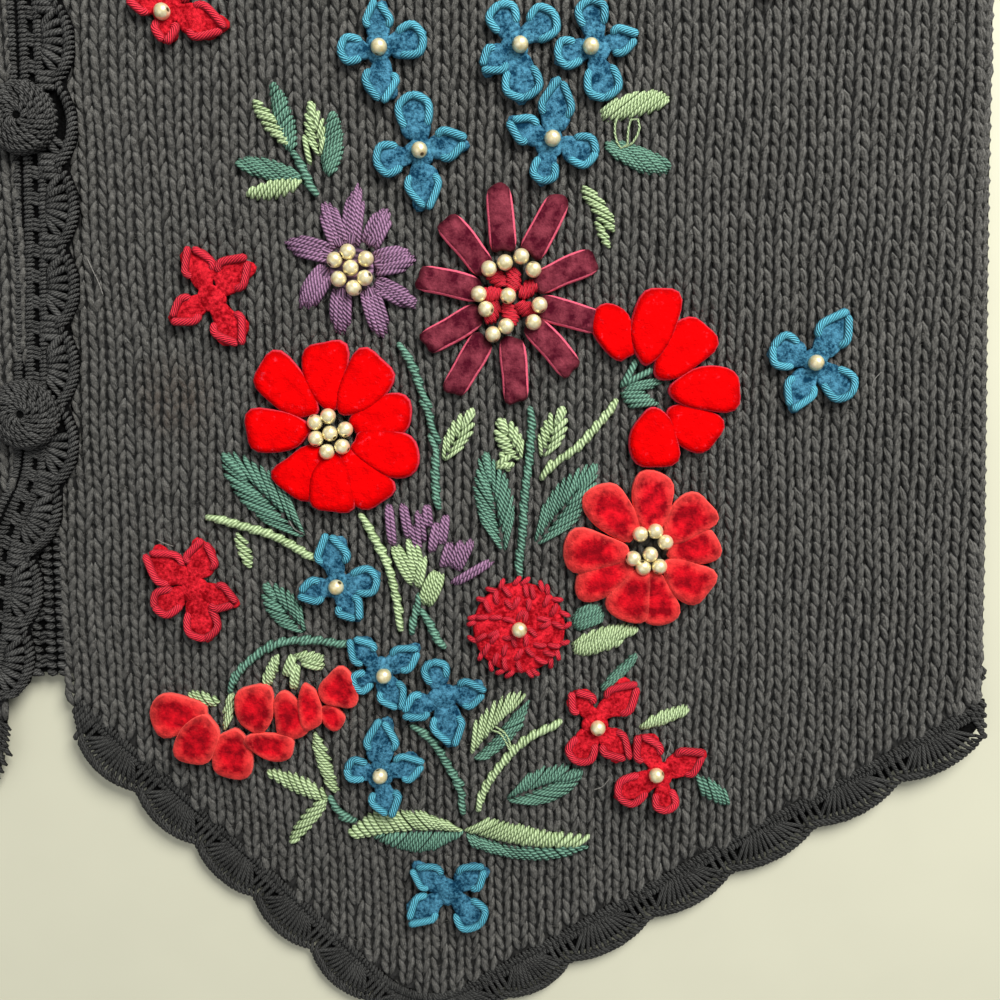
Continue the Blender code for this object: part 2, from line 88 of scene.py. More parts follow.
# Crocheted button bands
BAND_HALF = 8.0
BAND_NOTCH = 3.6
BAND_SHELL = 19.0
UNDER_BAND_SCALE = 0.85
NECK_POINT = (75.2, 590.0)
BACK_NECK_DROP = 20.0
LEFT_BAND = (
    (-3.2, 97.6), (-3.2, 200.0), (-3.2, 300.0), (-3.0, 362.0), (1.0, 396.0), (20.0, 449.0),
    (48.0, 521.0), NECK_POINT,
)
RIGHT_BAND = (
    (13.0, 91.7), (8.4, 108.0), (5.4, 130.0), (-2.2, 148.0), (-4.2, 170.0), (-6.4, 230.0),
    (-6.4, 300.0), (-6.0, 368.0), (-1.0, 400.0), (20.0, 450.0), (48.0, 521.0), NECK_POINT,
)
BUTTONS = {
    "button_1": (-0.71, 163.4),
    "button_2": (1.85, 233.6),
    "button_3": (1.80, 304.0),
    "button_4": (1.20, 371.8),
}

# Stocking stitch: width of a stitch and height of a row
STITCH_W = 4.4
ROW_H = 3.2
# Where the photograph's view ends: upwards, and on the right front
NEAR_H = 276.0
NEAR_X = -24.0

# Camera over the lower left front, tilted a little towards the hem
CENTRE_X = 115.5
CENTRE_H = 142.0
CLOTH_Z = 4.5
DISTANCE = 257.0
TILT = math.radians(6.0)
LENS_MM = 37.0
SENSOR_MM = 36.0
PHOTO_PX = 1000

# Felt flowers: x, h, then each petal's tip by pixel of the photograph, with 1 where it is pointed
BLOSSOMS = {
    "blue_flower_1": (86.8, 250.1, ((378, 2, 1), (338, 53, 0), (427, 38, 0), (382, 106, 1))),
    "blue_flower_2": (96.2, 226.5, ((412, 93, 0), (374, 165, 0), (468, 142, 1), (427, 212, 1))),
    "blue_flower_3": (119.3, 250.9, ((497, 5, 0), (556, 14, 0), (480, 72, 1), (524, 104, 0))),
    "blue_flower_4": (138.4, 250.6, ((588, 0, 0), (638, 40, 1), (554, 60, 0), (604, 104, 0))),
    "blue_flower_5": (127.6, 228.4, ((561, 80, 1), (508, 122, 1), (541, 186, 0), (598, 156, 0))),
    "blue_flower_6": (192.7, 176.2, ((847, 312, 1), (768, 346, 0), (787, 410, 1), (851, 396, 0))),
    "blue_flower_7": (74.4, 120.4, ((330, 531, 1), (381, 576, 0), (360, 619, 1), (299, 592, 1))),
    "blue_flower_8": (85.2, 98.6, ((352, 635, 1), (421, 647, 1), (353, 685, 0), (401, 708, 1))),
    "blue_flower_9": (100.9, 91.9, ((432, 657, 0), (487, 690, 1), (402, 712, 1), (453, 744, 1))),
    "blue_flower_10": (84.6, 71.4, ((383, 716, 1), (345, 766, 0), (426, 761, 1), (390, 815, 1))),
    "blue_flower_11": (102.2, 38.7, ((412, 868, 1), (486, 868, 1), (407, 924, 1), (482, 928, 0))),
    "red_flower_1": (36.4, 259.5, ((228, 33, 1), (167, 47, 1), (130, 0, 1), (193, -20, 1))),
    "red_flower_2": (45.0, 192.0, ((192, 246, 1), (251, 259, 1), (172, 321, 1), (243, 347, 1))),
    "red_flower_3": (
        38.6, 119.7, ((148, 551, 1), (207, 538, 1), (239, 603, 1), (208, 640, 0), (154, 607, 0)),
    ),
    "red_flower_4": (139.6, 85.2, ((572, 688, 1), (638, 682, 1), (575, 762, 0), (628, 758, 1))),
    "red_flower_5": (156.6, 71.4, ((638, 731, 1), (704, 751, 1), (615, 795, 0), (666, 811, 0))),
    "red_flower_6": (178.5, 270.0, ((766, 0, 1), (728, -40, 1), (812, -38, 1), (772, -85, 1))),
}

# Velvet petals, by pixel: root, tip and half the width
POPPY_PETALS = {
    "poppy_1": (
        (332, 433),
        (
            (325, 341, 22), (382, 357, 23), (411, 408, 20), (418, 462, 22), (382, 504, 21),
            (334, 512, 22), (289, 494, 23), (247, 429, 21), (263, 361, 22),
        ),
    ),
    "poppy_2": (
        (649, 553),
        (
            (653, 471, 20), (708, 500, 20), (719, 544, 17), (708, 593, 20), (663, 625, 17),
            (621, 620, 20), (577, 592, 17), (562, 549, 20), (591, 489, 21),
        ),
    ),
}
HALF_OPEN = {
    "side_poppy_1": (
        (628, 360, 601, 307, 19), (641, 364, 664, 288, 22), (655, 376, 707, 325, 23),
        (668, 389, 740, 390, 22), (666, 412, 717, 440, 22), (650, 408, 656, 468, 24),
    ),
    "side_poppy_2": ((208, 709, 151, 717, 21), (212, 714, 188, 760, 21), (232, 727, 236, 777, 21)),
    "side_poppy_3": (
        (258, 732, 255, 683, 20), (246, 738, 296, 748, 14), (283, 690, 300, 737, 17),
        (308, 681, 314, 727, 12), (325, 703, 341, 726, 11), (321, 693, 358, 681, 20),
    ),
}
# Velvet-ribbon flower: its middle and its petals' middles by pixel, half a petal's length and width
RIBBON_MIDDLE = (508, 297)
RIBBON_PETALS = (
    (501, 219), (545, 227), (466, 245), (565, 272), (450, 284), (570, 315), (453, 329), (552, 347),
    (468, 365), (514, 370),
)
RIBBON_HALF = (8.1, 3.3)
# Stitched daisy's petals: root, tip and width
DAISY_PETALS = (
    (351, 243, 357, 184, 22), (340, 245, 324, 200, 22), (330, 254, 284, 242, 24),
    (328, 270, 301, 309, 26), (342, 290, 340, 336, 24), (369, 290, 384, 339, 24),
    (377, 284, 419, 306, 20), (376, 264, 415, 256, 30), (370, 244, 388, 207, 24),
)
DAISY_MIDDLE = (352, 269)
# Rosette: x, h and radius
ROSETTE = (120.3, 109.7, 12.6)

# Beads by pixel, a row for each flower or pair of flowers
BEADS = {
    "blue": (
        (380, 50), (420, 152), (520, 48), (590, 50), (552, 141), (813, 363), (338, 585), (385, 673),
        (381, 773),
    ),
    "red": ((165, 15), (597, 725), (655, 772)),
    "poppy_1": ((330, 416), (317, 422), (347, 429), (332, 433), (318, 438), (344, 446), (329, 451)),
    "poppy_2": ((639, 533), (654, 530), (664, 541), (649, 553), (632, 557), (642, 566), (658, 565)),
    "daisy": ((349, 253), (336, 261), (367, 260), (352, 269), (340, 280), (366, 279), (355, 289)),
    "ribbon": (
        (489, 270), (505, 264), (521, 258), (533, 271), (479, 295), (486, 310), (508, 297),
        (539, 306), (533, 323), (506, 327), (493, 335),
    ),
    "rosette": ((519, 627),),
}
BEAD_R = 1.95

# Leaves filled with slanting stitches, by pixel: base, tip, width, stitches, their angle
LIGHT_FILLED = {
    "sprig_left": (287, 146, 256, 100, 17, 8, 162),
    "sprig_low": (300, 185, 248, 192, 20, 8, 50),
    "top_right": (606, 106, 666, 106, 30, 10, 38),
    "twig": (588, 188, 611, 232, 17, 7, 152),
    "twig_end": (599, 224, 607, 248, 9, 4, 140),
    "pair_upper": (576, 640, 636, 632, 22, 11, 40),
    "pair_lower": (577, 646, 621, 643, 22, 9, 45),
    "low_right": (644, 722, 686, 712, 18, 8, 42),
    "three_up": (331, 790, 318, 734, 18, 9, 130),
    "three_left": (326, 796, 268, 773, 20, 10, 112),
    "three_down": (321, 800, 291, 846, 17, 8, 22),
    "left_twig": (241, 535, 248, 567, 14, 5, 138),
    "garland_left": (190, 698, 219, 700, 16, 6, 125),
    "garland_middle": (228, 726, 229, 695, 13, 5, 60),
    "garland_top": (264, 683, 280, 657, 14, 6, 92),
    "garland_stalk": (298, 652, 322, 661, 14, 5, 198),
}
DARK_FILLED = {
    "sprig_top": (293, 150, 272, 84, 20, 14, 48),
    "sprig_right": (332, 174, 332, 112, 22, 14, 35),
    "sprig_low_left": (298, 173, 238, 167, 24, 12, 140),
    "top_right_dark": (610, 154, 668, 163, 28, 14, 135),
    "slim": (606, 689, 634, 655, 13, 12, 22),
}
# Leaves of stitches from a middle vein, by pixel: base, tip, width, stitches on a side
LIGHT_VEINED = {
    "sprig_middle": (320, 156, 310, 102, 19, 5),
    "stalk": (443, 461, 473, 409, 22, 5),
    "centre_left": (520, 460, 499, 419, 25, 5),
    "centre_right": (542, 457, 563, 407, 24, 5),
}
DARK_VEINED = {
    "centre_left_dark": (504, 553, 485, 452, 38, 9),
    "centre_right_dark": (535, 545, 597, 464, 38, 9),
    "left_dark": (305, 537, 222, 453, 42, 9),
    "low_left_dark": (305, 632, 264, 584, 32, 7),
    "low_right_dark": (506, 801, 583, 771, 38, 10),
}
# Halves of leaves, by pixel: foot and end of the stitches that the others lie between,
# and how many there are
LIGHT_RANKS = {
    "big_left": (
        (
            (358, 840, 348, 833), (385, 836, 372, 812), (415, 833, 398, 812), (440, 833, 420, 813),
            (462, 834, 445, 823),
        ),
        20,
    ),
    "big_right": (
        (
            (464, 834, 491, 820), (480, 838, 506, 824), (500, 844, 524, 827), (522, 848, 540, 832),
            (545, 849, 560, 835), (572, 849, 590, 837),
        ),
        18,
    ),
    "tall": (
        ((472, 755, 476, 721), (483, 741, 492, 703), (496, 725, 512, 690), (508, 713, 526, 693)), 9,
    ),
}
DARK_RANKS = {
    "big_left_dark": (
        (
            (385, 836, 374, 841), (412, 834, 396, 852), (432, 834, 413, 857), (448, 834, 432, 854),
            (462, 834, 453, 842),
        ),
        17,
    ),
    "big_right_dark": (
        (
            (467, 836, 474, 850), (480, 840, 494, 857), (500, 847, 517, 862), (525, 850, 540, 863),
            (555, 850, 566, 859), (580, 847, 588, 850),
        ),
        22,
    ),
    "tall_dark": (
        ((474, 758, 490, 757), (484, 748, 510, 742), (498, 733, 525, 723), (511, 717, 529, 701)),
        13,
    ),
    "low_far": (((697, 776, 704, 797), (711, 779, 720, 806), (724, 790, 729, 806)), 6),
    "behind_rosette": (
        ((577, 611, 592, 603), (571, 619, 601, 606), (571, 625, 606, 613), (577, 630, 604, 620)), 9,
    ),
    "calyx": (
        (
            (621, 387, 637, 358), (624, 384, 664, 376), (624, 389, 664, 383), (621, 393, 645, 391),
            (622, 398, 652, 398), (628, 407, 658, 404),
        ),
        9,
    ),
}
# Stems of overlapping stitches, by pixel
LIGHT_STEMS = {
    "to_half_open": ((539, 478), (554, 462), (570, 454), (585, 440), (599, 423), (618, 401)),
    "left_twig_stem": ((206, 515), (249, 528), (275, 535), (317, 560)),
    "middle": ((362, 512), (376, 541), (388, 561), (394, 587), (400, 612), (399, 630)),
    "low": (
        (476, 812), (484, 790), (492, 775), (503, 762), (513, 750), (526, 738), (540, 731),
        (562, 722),
    ),
    "curl": ((512, 456), (505, 453), (498, 458), (498, 466), (505, 470), (512, 466)),
}
DARK_STEMS = {
    "sprig_stem": ((294, 150), (304, 172), (315, 196)),
    "poppy_stalk": (
        (400, 342), (418, 378), (422, 397), (432, 415), (429, 427), (438, 445), (435, 463),
        (437, 509),
    ),
    "ribbon_stalk": (
        (532, 407), (531, 437), (528, 470), (524, 497), (523, 531), (520, 551), (518, 576),
    ),
    "arc": ((228, 692), (240, 669), (261, 652), (278, 641), (302, 640), (317, 639), (351, 645)),
    "low_stalk": ((412, 723), (432, 738), (442, 754), (452, 773), (462, 788), (461, 815)),
    "three_stem": ((331, 796), (337, 814), (354, 824)),
    "small_left": ((421, 594), (416, 612), (410, 633)),
    "small_right": ((423, 608), (432, 628), (443, 648)),
}
# Single thick stitches, by pixel: both ends and the width
LIGHT_STROKES = (
    (304, 135, 310, 165, 6), (394, 544, 414, 582, 14), (411, 537, 419, 571, 13),
    (424, 556, 418, 587, 10), (439, 571, 425, 604, 18), (286, 675, 294, 654, 9),
    (294, 689, 297, 664, 9), (302, 661, 323, 666, 8),
)
VIOLET_STROKES = (
    (389, 505, 393, 546, 12), (403, 504, 410, 539, 12), (414, 525, 419, 551, 9),
    (419, 512, 423, 541, 8), (427, 506, 429, 527, 8), (437, 522, 432, 551, 9),
    (446, 515, 442, 544, 9), (450, 543, 443, 567, 9), (462, 541, 451, 566, 10),
    (472, 540, 457, 570, 10), (491, 561, 452, 584, 12),
)
# Loose pale ends of thread, and stray hairs, by pixel
LOOSE_ENDS = (
    (
        (617, 118), (614, 128), (615, 140), (620, 150), (627, 146), (627, 133), (631, 120),
        (637, 121), (639, 128), (634, 142), (625, 149),
    ),
    ((495, 725), (504, 731), (509, 739), (511, 750)),
    ((492, 729), (500, 732), (506, 741), (511, 752)),
)
HAIRS = (
    ((88, 259), (94, 272), (99, 282), (104, 296)), ((594, 789), (602, 786), (609, 778)),
    ((157, 539), (165, 543), (174, 546)), ((880, 372), (873, 380), (871, 388)),
    ((290, 520), (296, 529), (305, 533)), ((662, 768), (670, 742), (668, 738)),
)
# An old stain, by pixel
STAIN = (176, 398)
STAIN_COLOUR = (0.075, 0.042, 0.022)

PHOTO_CENTRE_PX = PHOTO_PX / 2
FOCAL_PX = LENS_MM / SENSOR_MM * PHOTO_PX
# Millimetres a pixel at the middle of the photograph
PX = 0.25
# Half the length over which an edge's direction is read
READ_HALF = 2.0
NEARLY = 1e-9


def on_cloth(px, py):
    """The place (x, h) on the vest that shows at a pixel of the photograph."""
    right, down = (px - PHOTO_CENTRE_PX) / FOCAL_PX, (py - PHOTO_CENTRE_PX) / FOCAL_PX
    sin, cos = math.sin(TILT), math.cos(TILT)
    reach = DISTANCE * cos / (cos - down * sin)
    x = CENTRE_X + right * reach
    return x, CENTRE_H + DISTANCE * sin - (sin + down * cos) * reach


def to_metres(points):
    placed = np.array(points, dtype=float)
    placed[..., 1] -= MIDDLE_H
    return placed * MM


def ramp(value, low, high):
    return np.clip((value - low) / (high - low), 0.0, 1.0)


def swell(u, h):
    """Height of the soft swells at a point of a front, 0 along the button bands."""
    wave = np.sin(2 * np.pi * (u / SWELL_X + 0.2)) * np.sin(2 * np.pi * (h / SWELL_H + 0.1))
    return SWELL * (1 + wave) * ramp(u, *SWELL_FROM)


def left_under(u, h):
    """Height of the underside of the wearer's left front."""
    return LAYER * ramp(h, *DROP) + swell(u, h)


def right_under(u, h):
    """The same for the right front, which also climbs over the left one's band."""
    lift = (1 - ramp(u, *LIFT_ACROSS)) * ramp(h, *LIFT_FOOT) * (1 - ramp(h, *LIFT_TOP))
    return left_under(u, h) + LAYER * lift


def back_under(u, h):
    return 0.0 * u


def seat(x, h):
    """Height at which an applique flower sits on the wearer's left front."""
    return float(left_under(x, h)) + KNIT_T + SEAT


class Path:
    """A plane curve through close (u, h) points, read by length, and straight beyond its ends."""

    def __init__(self, points):
        self.points = [Vector(p) for p in points]
        self.marks = [0.0]
        for a, b in zip(self.points, self.points[1:]):
            self.marks.append(self.marks[-1] + (b - a).length)
        self.length = self.marks[-1]

    def point(self, s):
        last = len(self.marks) - 2
        k = next((i for i, mark in enumerate(self.marks[1:]) if s <= mark + NEARLY), last)
        span = self.marks[k + 1] - self.marks[k]
        return self.points[k] + (self.points[k + 1] - self.points[k]) * ((s - self.marks[k]) / span)

    def right(self, s):
        """The unit vector to the right of travel."""
        t = (self.point(s + READ_HALF) - self.point(s - READ_HALF)).normalized()
        return Vector((t.y, -t.x))


def smooth_points(points, steps=8):
    """Points of a Catmull-Rom curve, with straight tangents at both ends."""
    given = [Vector(p) for p in points]
    given = [2 * given[0] - given[1]] + given + [2 * given[-1] - given[-2]]
    curve = []
    for a, b, c, d in zip(given, given[1:], given[2:], given[3:]):
        for k in range(steps):
            t = k / steps
            curve.append(
                0.5 * (2 * b + (c - a) * t + (2 * a - 5 * b + 4 * c - d) * t**2
                       + (3 * b - a - 3 * c + d) * t**3)
            )
    return curve + [given[-2]]


def hem_path(start_u):
    """The line that the hem's notches touch, from the centre front to the side seam."""
    start, corner, end = Vector(HEM_START), Vector(HEM_CORNER), Vector(HEM_END)
    down, up = (corner - start).normalized(), (end - corner).normalized()
    start += down * (start_u - start.x) / down.x
    low_angle, high_angle = math.atan2(down.y, down.x), math.atan2(up.y, up.x)
    tangent = HEM_ROUND * math.tan((high_angle - low_angle) / 2)
    centre = corner - down * tangent + Vector((-down.y, down.x)) * HEM_ROUND
    points = [start]
    arc_steps = 14
    for k in range(arc_steps + 1):
        a = low_angle + (high_angle - low_angle) * k / arc_steps
        points.append(centre + Vector((math.sin(a), -math.cos(a))) * HEM_ROUND)
    return Path(points + [end])


def back_hem_path():
    steps = 40
    across = [BACK_HEM_U * (2 * k / steps - 1) for k in range(steps + 1)]
    rises = [BACK_HEM_RISE * (1 - (x / BACK_HEM_U) ** 2) for x in across]
    return Path([(x, BACK_HEM_SIDE_H + rise) for x, rise in zip(across, rises)])


def back_neck_path():
    radius = (NECK_POINT[0] ** 2 + BACK_NECK_DROP**2) / (2 * BACK_NECK_DROP)
    half = math.asin(NECK_POINT[0] / radius)
    centre_h = NECK_POINT[1] - BACK_NECK_DROP + radius
    half_steps = 8
    angles = [half * (k / half_steps - 1) for k in range(2 * half_steps + 1)]
    return Path([(radius * math.sin(a), centre_h - radius * math.cos(a)) for a in angles])


def half_round(turns):
    """0 at each notch and 1 at each shell's middle; turns counts shells along the edge."""
    return abs(math.sin(math.pi * turns)) ** SHELL_ROUND


# Materials

# Noise scales: yarn's fuzz and its patches of shade, mottled felt, velvet's pile, wear and patches,
# the stain, tarnish and the floor
FUZZ = 1500.0
SHADE_PATCHES = 260.0
MOTTLE = 1300.0
BROAD_MOTTLE = 330.0
PILE_GRAIN = 2400.0
PILE_WEAR = 600.0
STAIN_MOTTLE = 420.0
TARNISH = 900.0
FLOOR_MOTTLE = 40.0
# Streaks of fibre round a strand, and along a millimetre of it
STREAKS_AROUND = 14.0
STREAKS_ALONG = 0.8
# Distances from the stain's middle in metres: strongest within the first, gone at the second
STAIN_REACH = (0.0035, 0.0125)
STAIN_STRENGTH = 0.55


class Look:
    """A Principled material, with short calls for its nodes."""

    def __init__(self, name, roughness, sheen=0.0, sheen_colour=(1, 1, 1), sheen_rough=0.5,
                 metallic=0.0, specular=0.3):
        self.material = bpy.data.materials.new(name)
        self.material.use_nodes = True
        self.tree = self.material.node_tree
        self.shader = self.tree.nodes["Principled BSDF"]
        self.shader.inputs["Roughness"].default_value = roughness
        self.shader.inputs["Metallic"].default_value = metallic
        self.shader.inputs["Specular IOR Level"].default_value = specular
        self.shader.inputs["Sheen Weight"].default_value = sheen
        self.shader.inputs["Sheen Roughness"].default_value = sheen_rough
        self.shader.inputs["Sheen Tint"].default_value = (*sheen_colour, 1.0)

    def node(self, kind, inputs=(), **settings):
        made = self.tree.nodes.new(kind)
        for key, value in settings.items():
            setattr(made, key, value)
        for key, value in dict(inputs).items():
            self.feed(made.inputs[key], value)
        return made

    def feed(self, socket, value):
        if isinstance(value, bpy.types.NodeSocket):
            self.tree.links.new(value, socket)
        else:
            socket.default_value = value

    def math(self, operation, *values):
        return self.node("ShaderNodeMath", enumerate(values), operation=operation).outputs[0]

    def times(self, a, b):
        return self.math("MULTIPLY", a, b)

    def plus(self, a, b):
        return self.math("ADD", a, b)

    def object_point(self):
        return self.node("ShaderNodeTexCoord").outputs["Object"]

    def lay(self):
        """How the piece's own surface runs: round the strand or to the rim, and along."""
        uv = self.node("ShaderNodeUVMap", uv_map="lay").outputs[0]
        split = self.node("ShaderNodeSeparateXYZ", {0: uv})
        return split.outputs[0], split.outputs[1]

    def tint(self):
        return self.node("ShaderNodeAttribute", attribute_name="tint").outputs["Fac"]

    def noise(self, scale, detail, vector=None, rough=0.5):
        vector = vector or self.object_point()
        inputs = {"Vector": vector, "Scale": scale, "Detail": detail, "Roughness": rough}
        return self.node("ShaderNodeTexNoise", inputs).outputs[0]

    def spread(self, value, low, high, to_low=0.0, to_high=1.0):
        inputs = {0: value, 1: low, 2: high, 3: to_low, 4: to_high}
        return self.node("ShaderNodeMapRange", inputs).outputs[0]

    def mix(self, factor, a, b, blend="MIX"):
        made = self.node("ShaderNodeMix", data_type="RGBA", blend_type=blend)
        for socket, value in ((made.inputs[0], factor), (made.inputs[6], a), (made.inputs[7], b)):
            if isinstance(value, tuple):
                value = (*value, 1.0)
            self.feed(socket, value)
        return made.outputs[2]

    def colour(self, value):
        self.feed(self.shader.inputs["Base Color"], value)

    def painted_side_shade(self, around, low):
        """Painted shade: 1 along the top of a strand, and low at its sides, where shade falls
        between strands.
        """
        height = self.math("SINE", self.times(around, 2 * math.pi))
        return self.spread(height, 0.05, 0.85, low, 1.0)

    def bump(self, height, strength, depth_mm):
        inputs = {"Height": height, "Strength": strength, "Distance": depth_mm * MM}
        made = self.node("ShaderNodeBump", inputs)
        self.tree.links.new(made.outputs[0], self.shader.inputs["Normal"])


def plies(look, count, pitch):
    """Lines that wind round a strand: 0 in the grooves and 1 on the plies. Where they set a colour,
    they paint shade into the grooves.
    """
    around, along = look.lay()
    turns = look.plus(look.times(around, float(count)), look.math("DIVIDE", along, pitch))
    wave = look.math("SINE", look.times(turns, 2 * math.pi))
    return look.spread(wave, -1.0, 1.0)


def fibres(look, scale):
    """Streaks along a strand, 0 to 1."""
    around, along = look.lay()
    place = {0: look.times(around, STREAKS_AROUND), 1: look.times(along, STREAKS_ALONG)}
    point = look.node("ShaderNodeCombineXYZ", place).outputs[0]
    return look.spread(look.noise(scale, 3.0, point, 0.6), 0.3, 0.7)


def wool(name, dark, light, sheen=0.25, ply_count=2, pitch=2.6, ply=0.2, sides=0.5, low=0.15,
         stain=None):
    """Fuzzy yarn: plies with painted shade in their grooves, loose fibres, a tone that changes from
    stitch to stitch, and painted shade along each strand's sides.
    """
    look = Look(name, 0.95, sheen, (0.75, 0.75, 0.72), 0.55, specular=0.1)
    twist = plies(look, ply_count, pitch)
    streak = fibres(look, 0.85)
    fuzz = look.spread(look.noise(FUZZ, 4.0, rough=0.7), 0.3, 0.7)
    patch = look.spread(look.noise(SHADE_PATCHES, 3.0), 0.3, 0.7, -0.1, 0.1)
    # Painted shade: the grooves between the plies are darker
    tone = look.plus(look.times(twist, ply), look.times(streak, 0.6 - ply))
    tone = look.plus(tone, look.times(fuzz, 0.4))
    tone = look.plus(tone, look.times(look.tint(), 0.14))
    # Painted shade: each strand is darker towards its sides
    tone = look.times(look.plus(tone, patch), look.painted_side_shade(look.lay()[0], sides))
    body = look.mix(look.spread(tone, low, 0.95), dark, light)
    if stain:
        body = look.mix(stained(look, stain), body, STAIN_COLOUR)
    look.colour(body)
    height = look.plus(look.times(twist, ply * 2), look.plus(streak, fuzz))
    look.bump(height, 1.0, 0.45)
    return look.material


def stained(look, spot):
    """The share of an old brown stain in a piece's colour, strongest at its middle."""
    ends = {0: look.object_point(), 1: spot}
    away = look.node("ShaderNodeVectorMath", ends, operation="DISTANCE").outputs["Value"]
    near = look.spread(away, *STAIN_REACH, STAIN_STRENGTH, 0.0)
    return look.times(near, look.spread(look.noise(STAIN_MOTTLE, 3.0), 0.35, 0.65, 0.3, 1.0))


def thread(name, dark, light, ply_count=4, pitch=1.1):
    """Stranded cotton: shiny plies, with painted shade in the grooves between them and along the
    strand's sides.
    """
    look = Look(name, 0.6, 0.15, light, 0.4, specular=0.25)
    twist = plies(look, ply_count, pitch)
    streak = fibres(look, 1.2)
    # Painted shade: the grooves between the plies are darker
    tone = look.plus(look.times(twist, 0.75), look.times(streak, 0.3))
    tone = look.plus(tone, look.times(look.tint(), 0.25))
    # Painted shade: darker towards the strand's sides
    tone = look.times(tone, look.painted_side_shade(look.lay()[0], 0.35))
    look.colour(look.mix(look.spread(tone, 0.1, 1.0), dark, light))
    look.bump(look.plus(twist, look.times(streak, 0.3)), 0.9, 0.3)
    return look.material


def felt(name, dark, light):
    """Matted fibres, mottled light and dark."""
    look = Look(name, 0.95, 0.2, light, 0.5, specular=0.05)
    mottle = look.noise(MOTTLE, 4.0, rough=0.7)
    broad = look.noise(BROAD_MOTTLE, 2.0)
    tone = look.plus(look.times(mottle, 0.7), look.times(broad, 0.5))
    look.colour(look.mix(look.spread(tone, 0.5, 0.74), dark, light))
    look.bump(mottle, 1.0, 0.5)
    return look.material


def velvet(name, deep, pile, rim, rim_from, worn, sheen=0.0, ribbon=False, painted_sheen=0.0, shade=0.5):
    """Cut pile with painted shade at its creases near the rim, rubbed pale in places, with a
    painted sheen towards the rim and a pale woven edge.
    """
    look = Look(name, 0.9, sheen, (1, 0.5, 0.5), 0.35, specular=0.03)
    across, out = look.lay()
    patch = look.noise(BROAD_MOTTLE, 3.0, rough=0.6)
    grain = look.noise(PILE_GRAIN, 2.0)
    tone = look.plus(look.spread(patch, 0.35, 0.7), look.times(grain, 0.5))
    body = look.mix(look.spread(tone, 0.3, 1.3), deep, pile)
    rub = look.spread(look.noise(PILE_WEAR, 4.0, rough=0.75), 0.6, 0.72, 0.0, worn)
    body = look.mix(look.times(rub, look.spread(out, 0.3, 0.7)), body, rim)
    # Painted shade: darker towards the rim, where a petal curls down and overlaps the next
    painted_crease_shade = look.mix(look.spread(out, 0.72, 0.97), (1, 1, 1), (shade, shade, shade))
    body = look.mix(1.0, body, painted_crease_shade, "MULTIPLY")
    # Painted sheen: paler towards the rim, in patches
    painted_rim_sheen = look.plus(out, look.times(look.spread(patch, 0.3, 0.7), 0.35))
    body = look.mix(look.spread(painted_rim_sheen, 0.72, 1.25, 0.0, painted_sheen), body, rim)
    rough_edge = look.plus(across if ribbon else out, look.times(grain, 0.06))
    look.colour(look.mix(look.spread(rough_edge, rim_from, rim_from + 0.06), body, rim))
    look.bump(look.plus(look.times(grain, 0.3), patch), 0.7, 0.8)
    return look.material


def knitted_ground(name, dark, light):
    """The knitting under the raised stitches and on hidden faces: rows of small Vs, painted
    near-black as the shade in the gaps between the stitches.
    """
    look = Look(name, 0.95, 0.2, (0.7, 0.7, 0.7), 0.5, specular=0.1)
    split = look.node("ShaderNodeSeparateXYZ", {0: look.object_point()})
    column = look.math("FRACT", look.math("DIVIDE", split.outputs[0], STITCH_W * MM))
    slant = look.times(look.math("ABSOLUTE", look.math("SUBTRACT", column, 0.5)), 1.5)
    row = look.math("SUBTRACT", look.math("DIVIDE", split.outputs[1], ROW_H * MM), slant)
    wave = look.spread(look.math("SINE", look.times(row, 2 * math.pi)), -1.0, 1.0)
    grain = look.noise(MOTTLE, 4.0)
    tone = look.times(wave, look.spread(grain, 0.2, 0.8))
    look.colour(look.mix(tone, dark, light))
    look.bump(look.plus(wave, grain), 0.9, 0.5)
    return look.material


def bead_metal():
    look = Look("gold_beads", 0.32, metallic=0.55, specular=0.8)
    _, out = look.lay()
    tarnish = look.noise(TARNISH, 2.0)
    body = look.mix(look.spread(tarnish, 0.3, 0.75), (0.78, 0.64, 0.3), (1.0, 0.93, 0.66))
    # Painted shade: dark round each pole, where the thread's hole lies in shade
    painted_hole_shade = look.spread(out, 0.2, 0.32)
    look.colour(look.mix(painted_hole_shade, (0.1, 0.075, 0.03), body))
    look.bump(tarnish, 0.15, 0.1)
    return look.material


def pale_floor():
    look = Look("pale_floor", 0.9, specular=0.1)
    look.colour(look.mix(look.noise(FLOOR_MOTTLE, 2.0), (0.55, 0.54, 0.418), (0.59, 0.58, 0.448)))
    return look.material


# Shapes modelled once, then laid again and again

def alone():
    """Leaves nothing selected, so that an operator acts only on the new shape."""
    if bpy.context.object and bpy.context.object.mode != "OBJECT":
        bpy.ops.object.mode_set(mode="OBJECT")
    bpy.ops.object.select_all(action="DESELECT")


class Unit:
    """A modelled shape read as arrays, so that it can be laid many times in one mesh."""

    def __init__(self, shape):
        mesh = shape.data
        self.co = np.empty(len(mesh.vertices) * 3)
        mesh.vertices.foreach_get("co", self.co)
        self.co = self.co.reshape(-1, 3)
        self.loops = np.empty(len(mesh.loops), dtype=np.int32)
        mesh.loops.foreach_get("vertex_index", self.loops)
        self.starts = np.empty(len(mesh.polygons), dtype=np.int32)
        mesh.polygons.foreach_get("loop_start", self.starts)
        self.around = np.empty(len(self.loops))
        for face in mesh.polygons:
            corner = list(face.loop_indices)
            at = self.co[self.loops[corner]]
            turn = np.arctan2(at[:, 1], at[:, 0]) / (2 * np.pi) % 1.0
            pole = np.hypot(at[:, 0], at[:, 1]) < 0.01
            if turn[~pole].max() - turn[~pole].min() > 0.5:
                turn[turn < 0.5] += 1.0
            turn[pole] = turn[~pole].mean()
            self.around[corner] = turn
        bpy.data.objects.remove(shape, do_unlink=True)
        bpy.data.meshes.remove(mesh)


# Radius of the ends of a strand that is drawn in to points
POINTED = 0.05


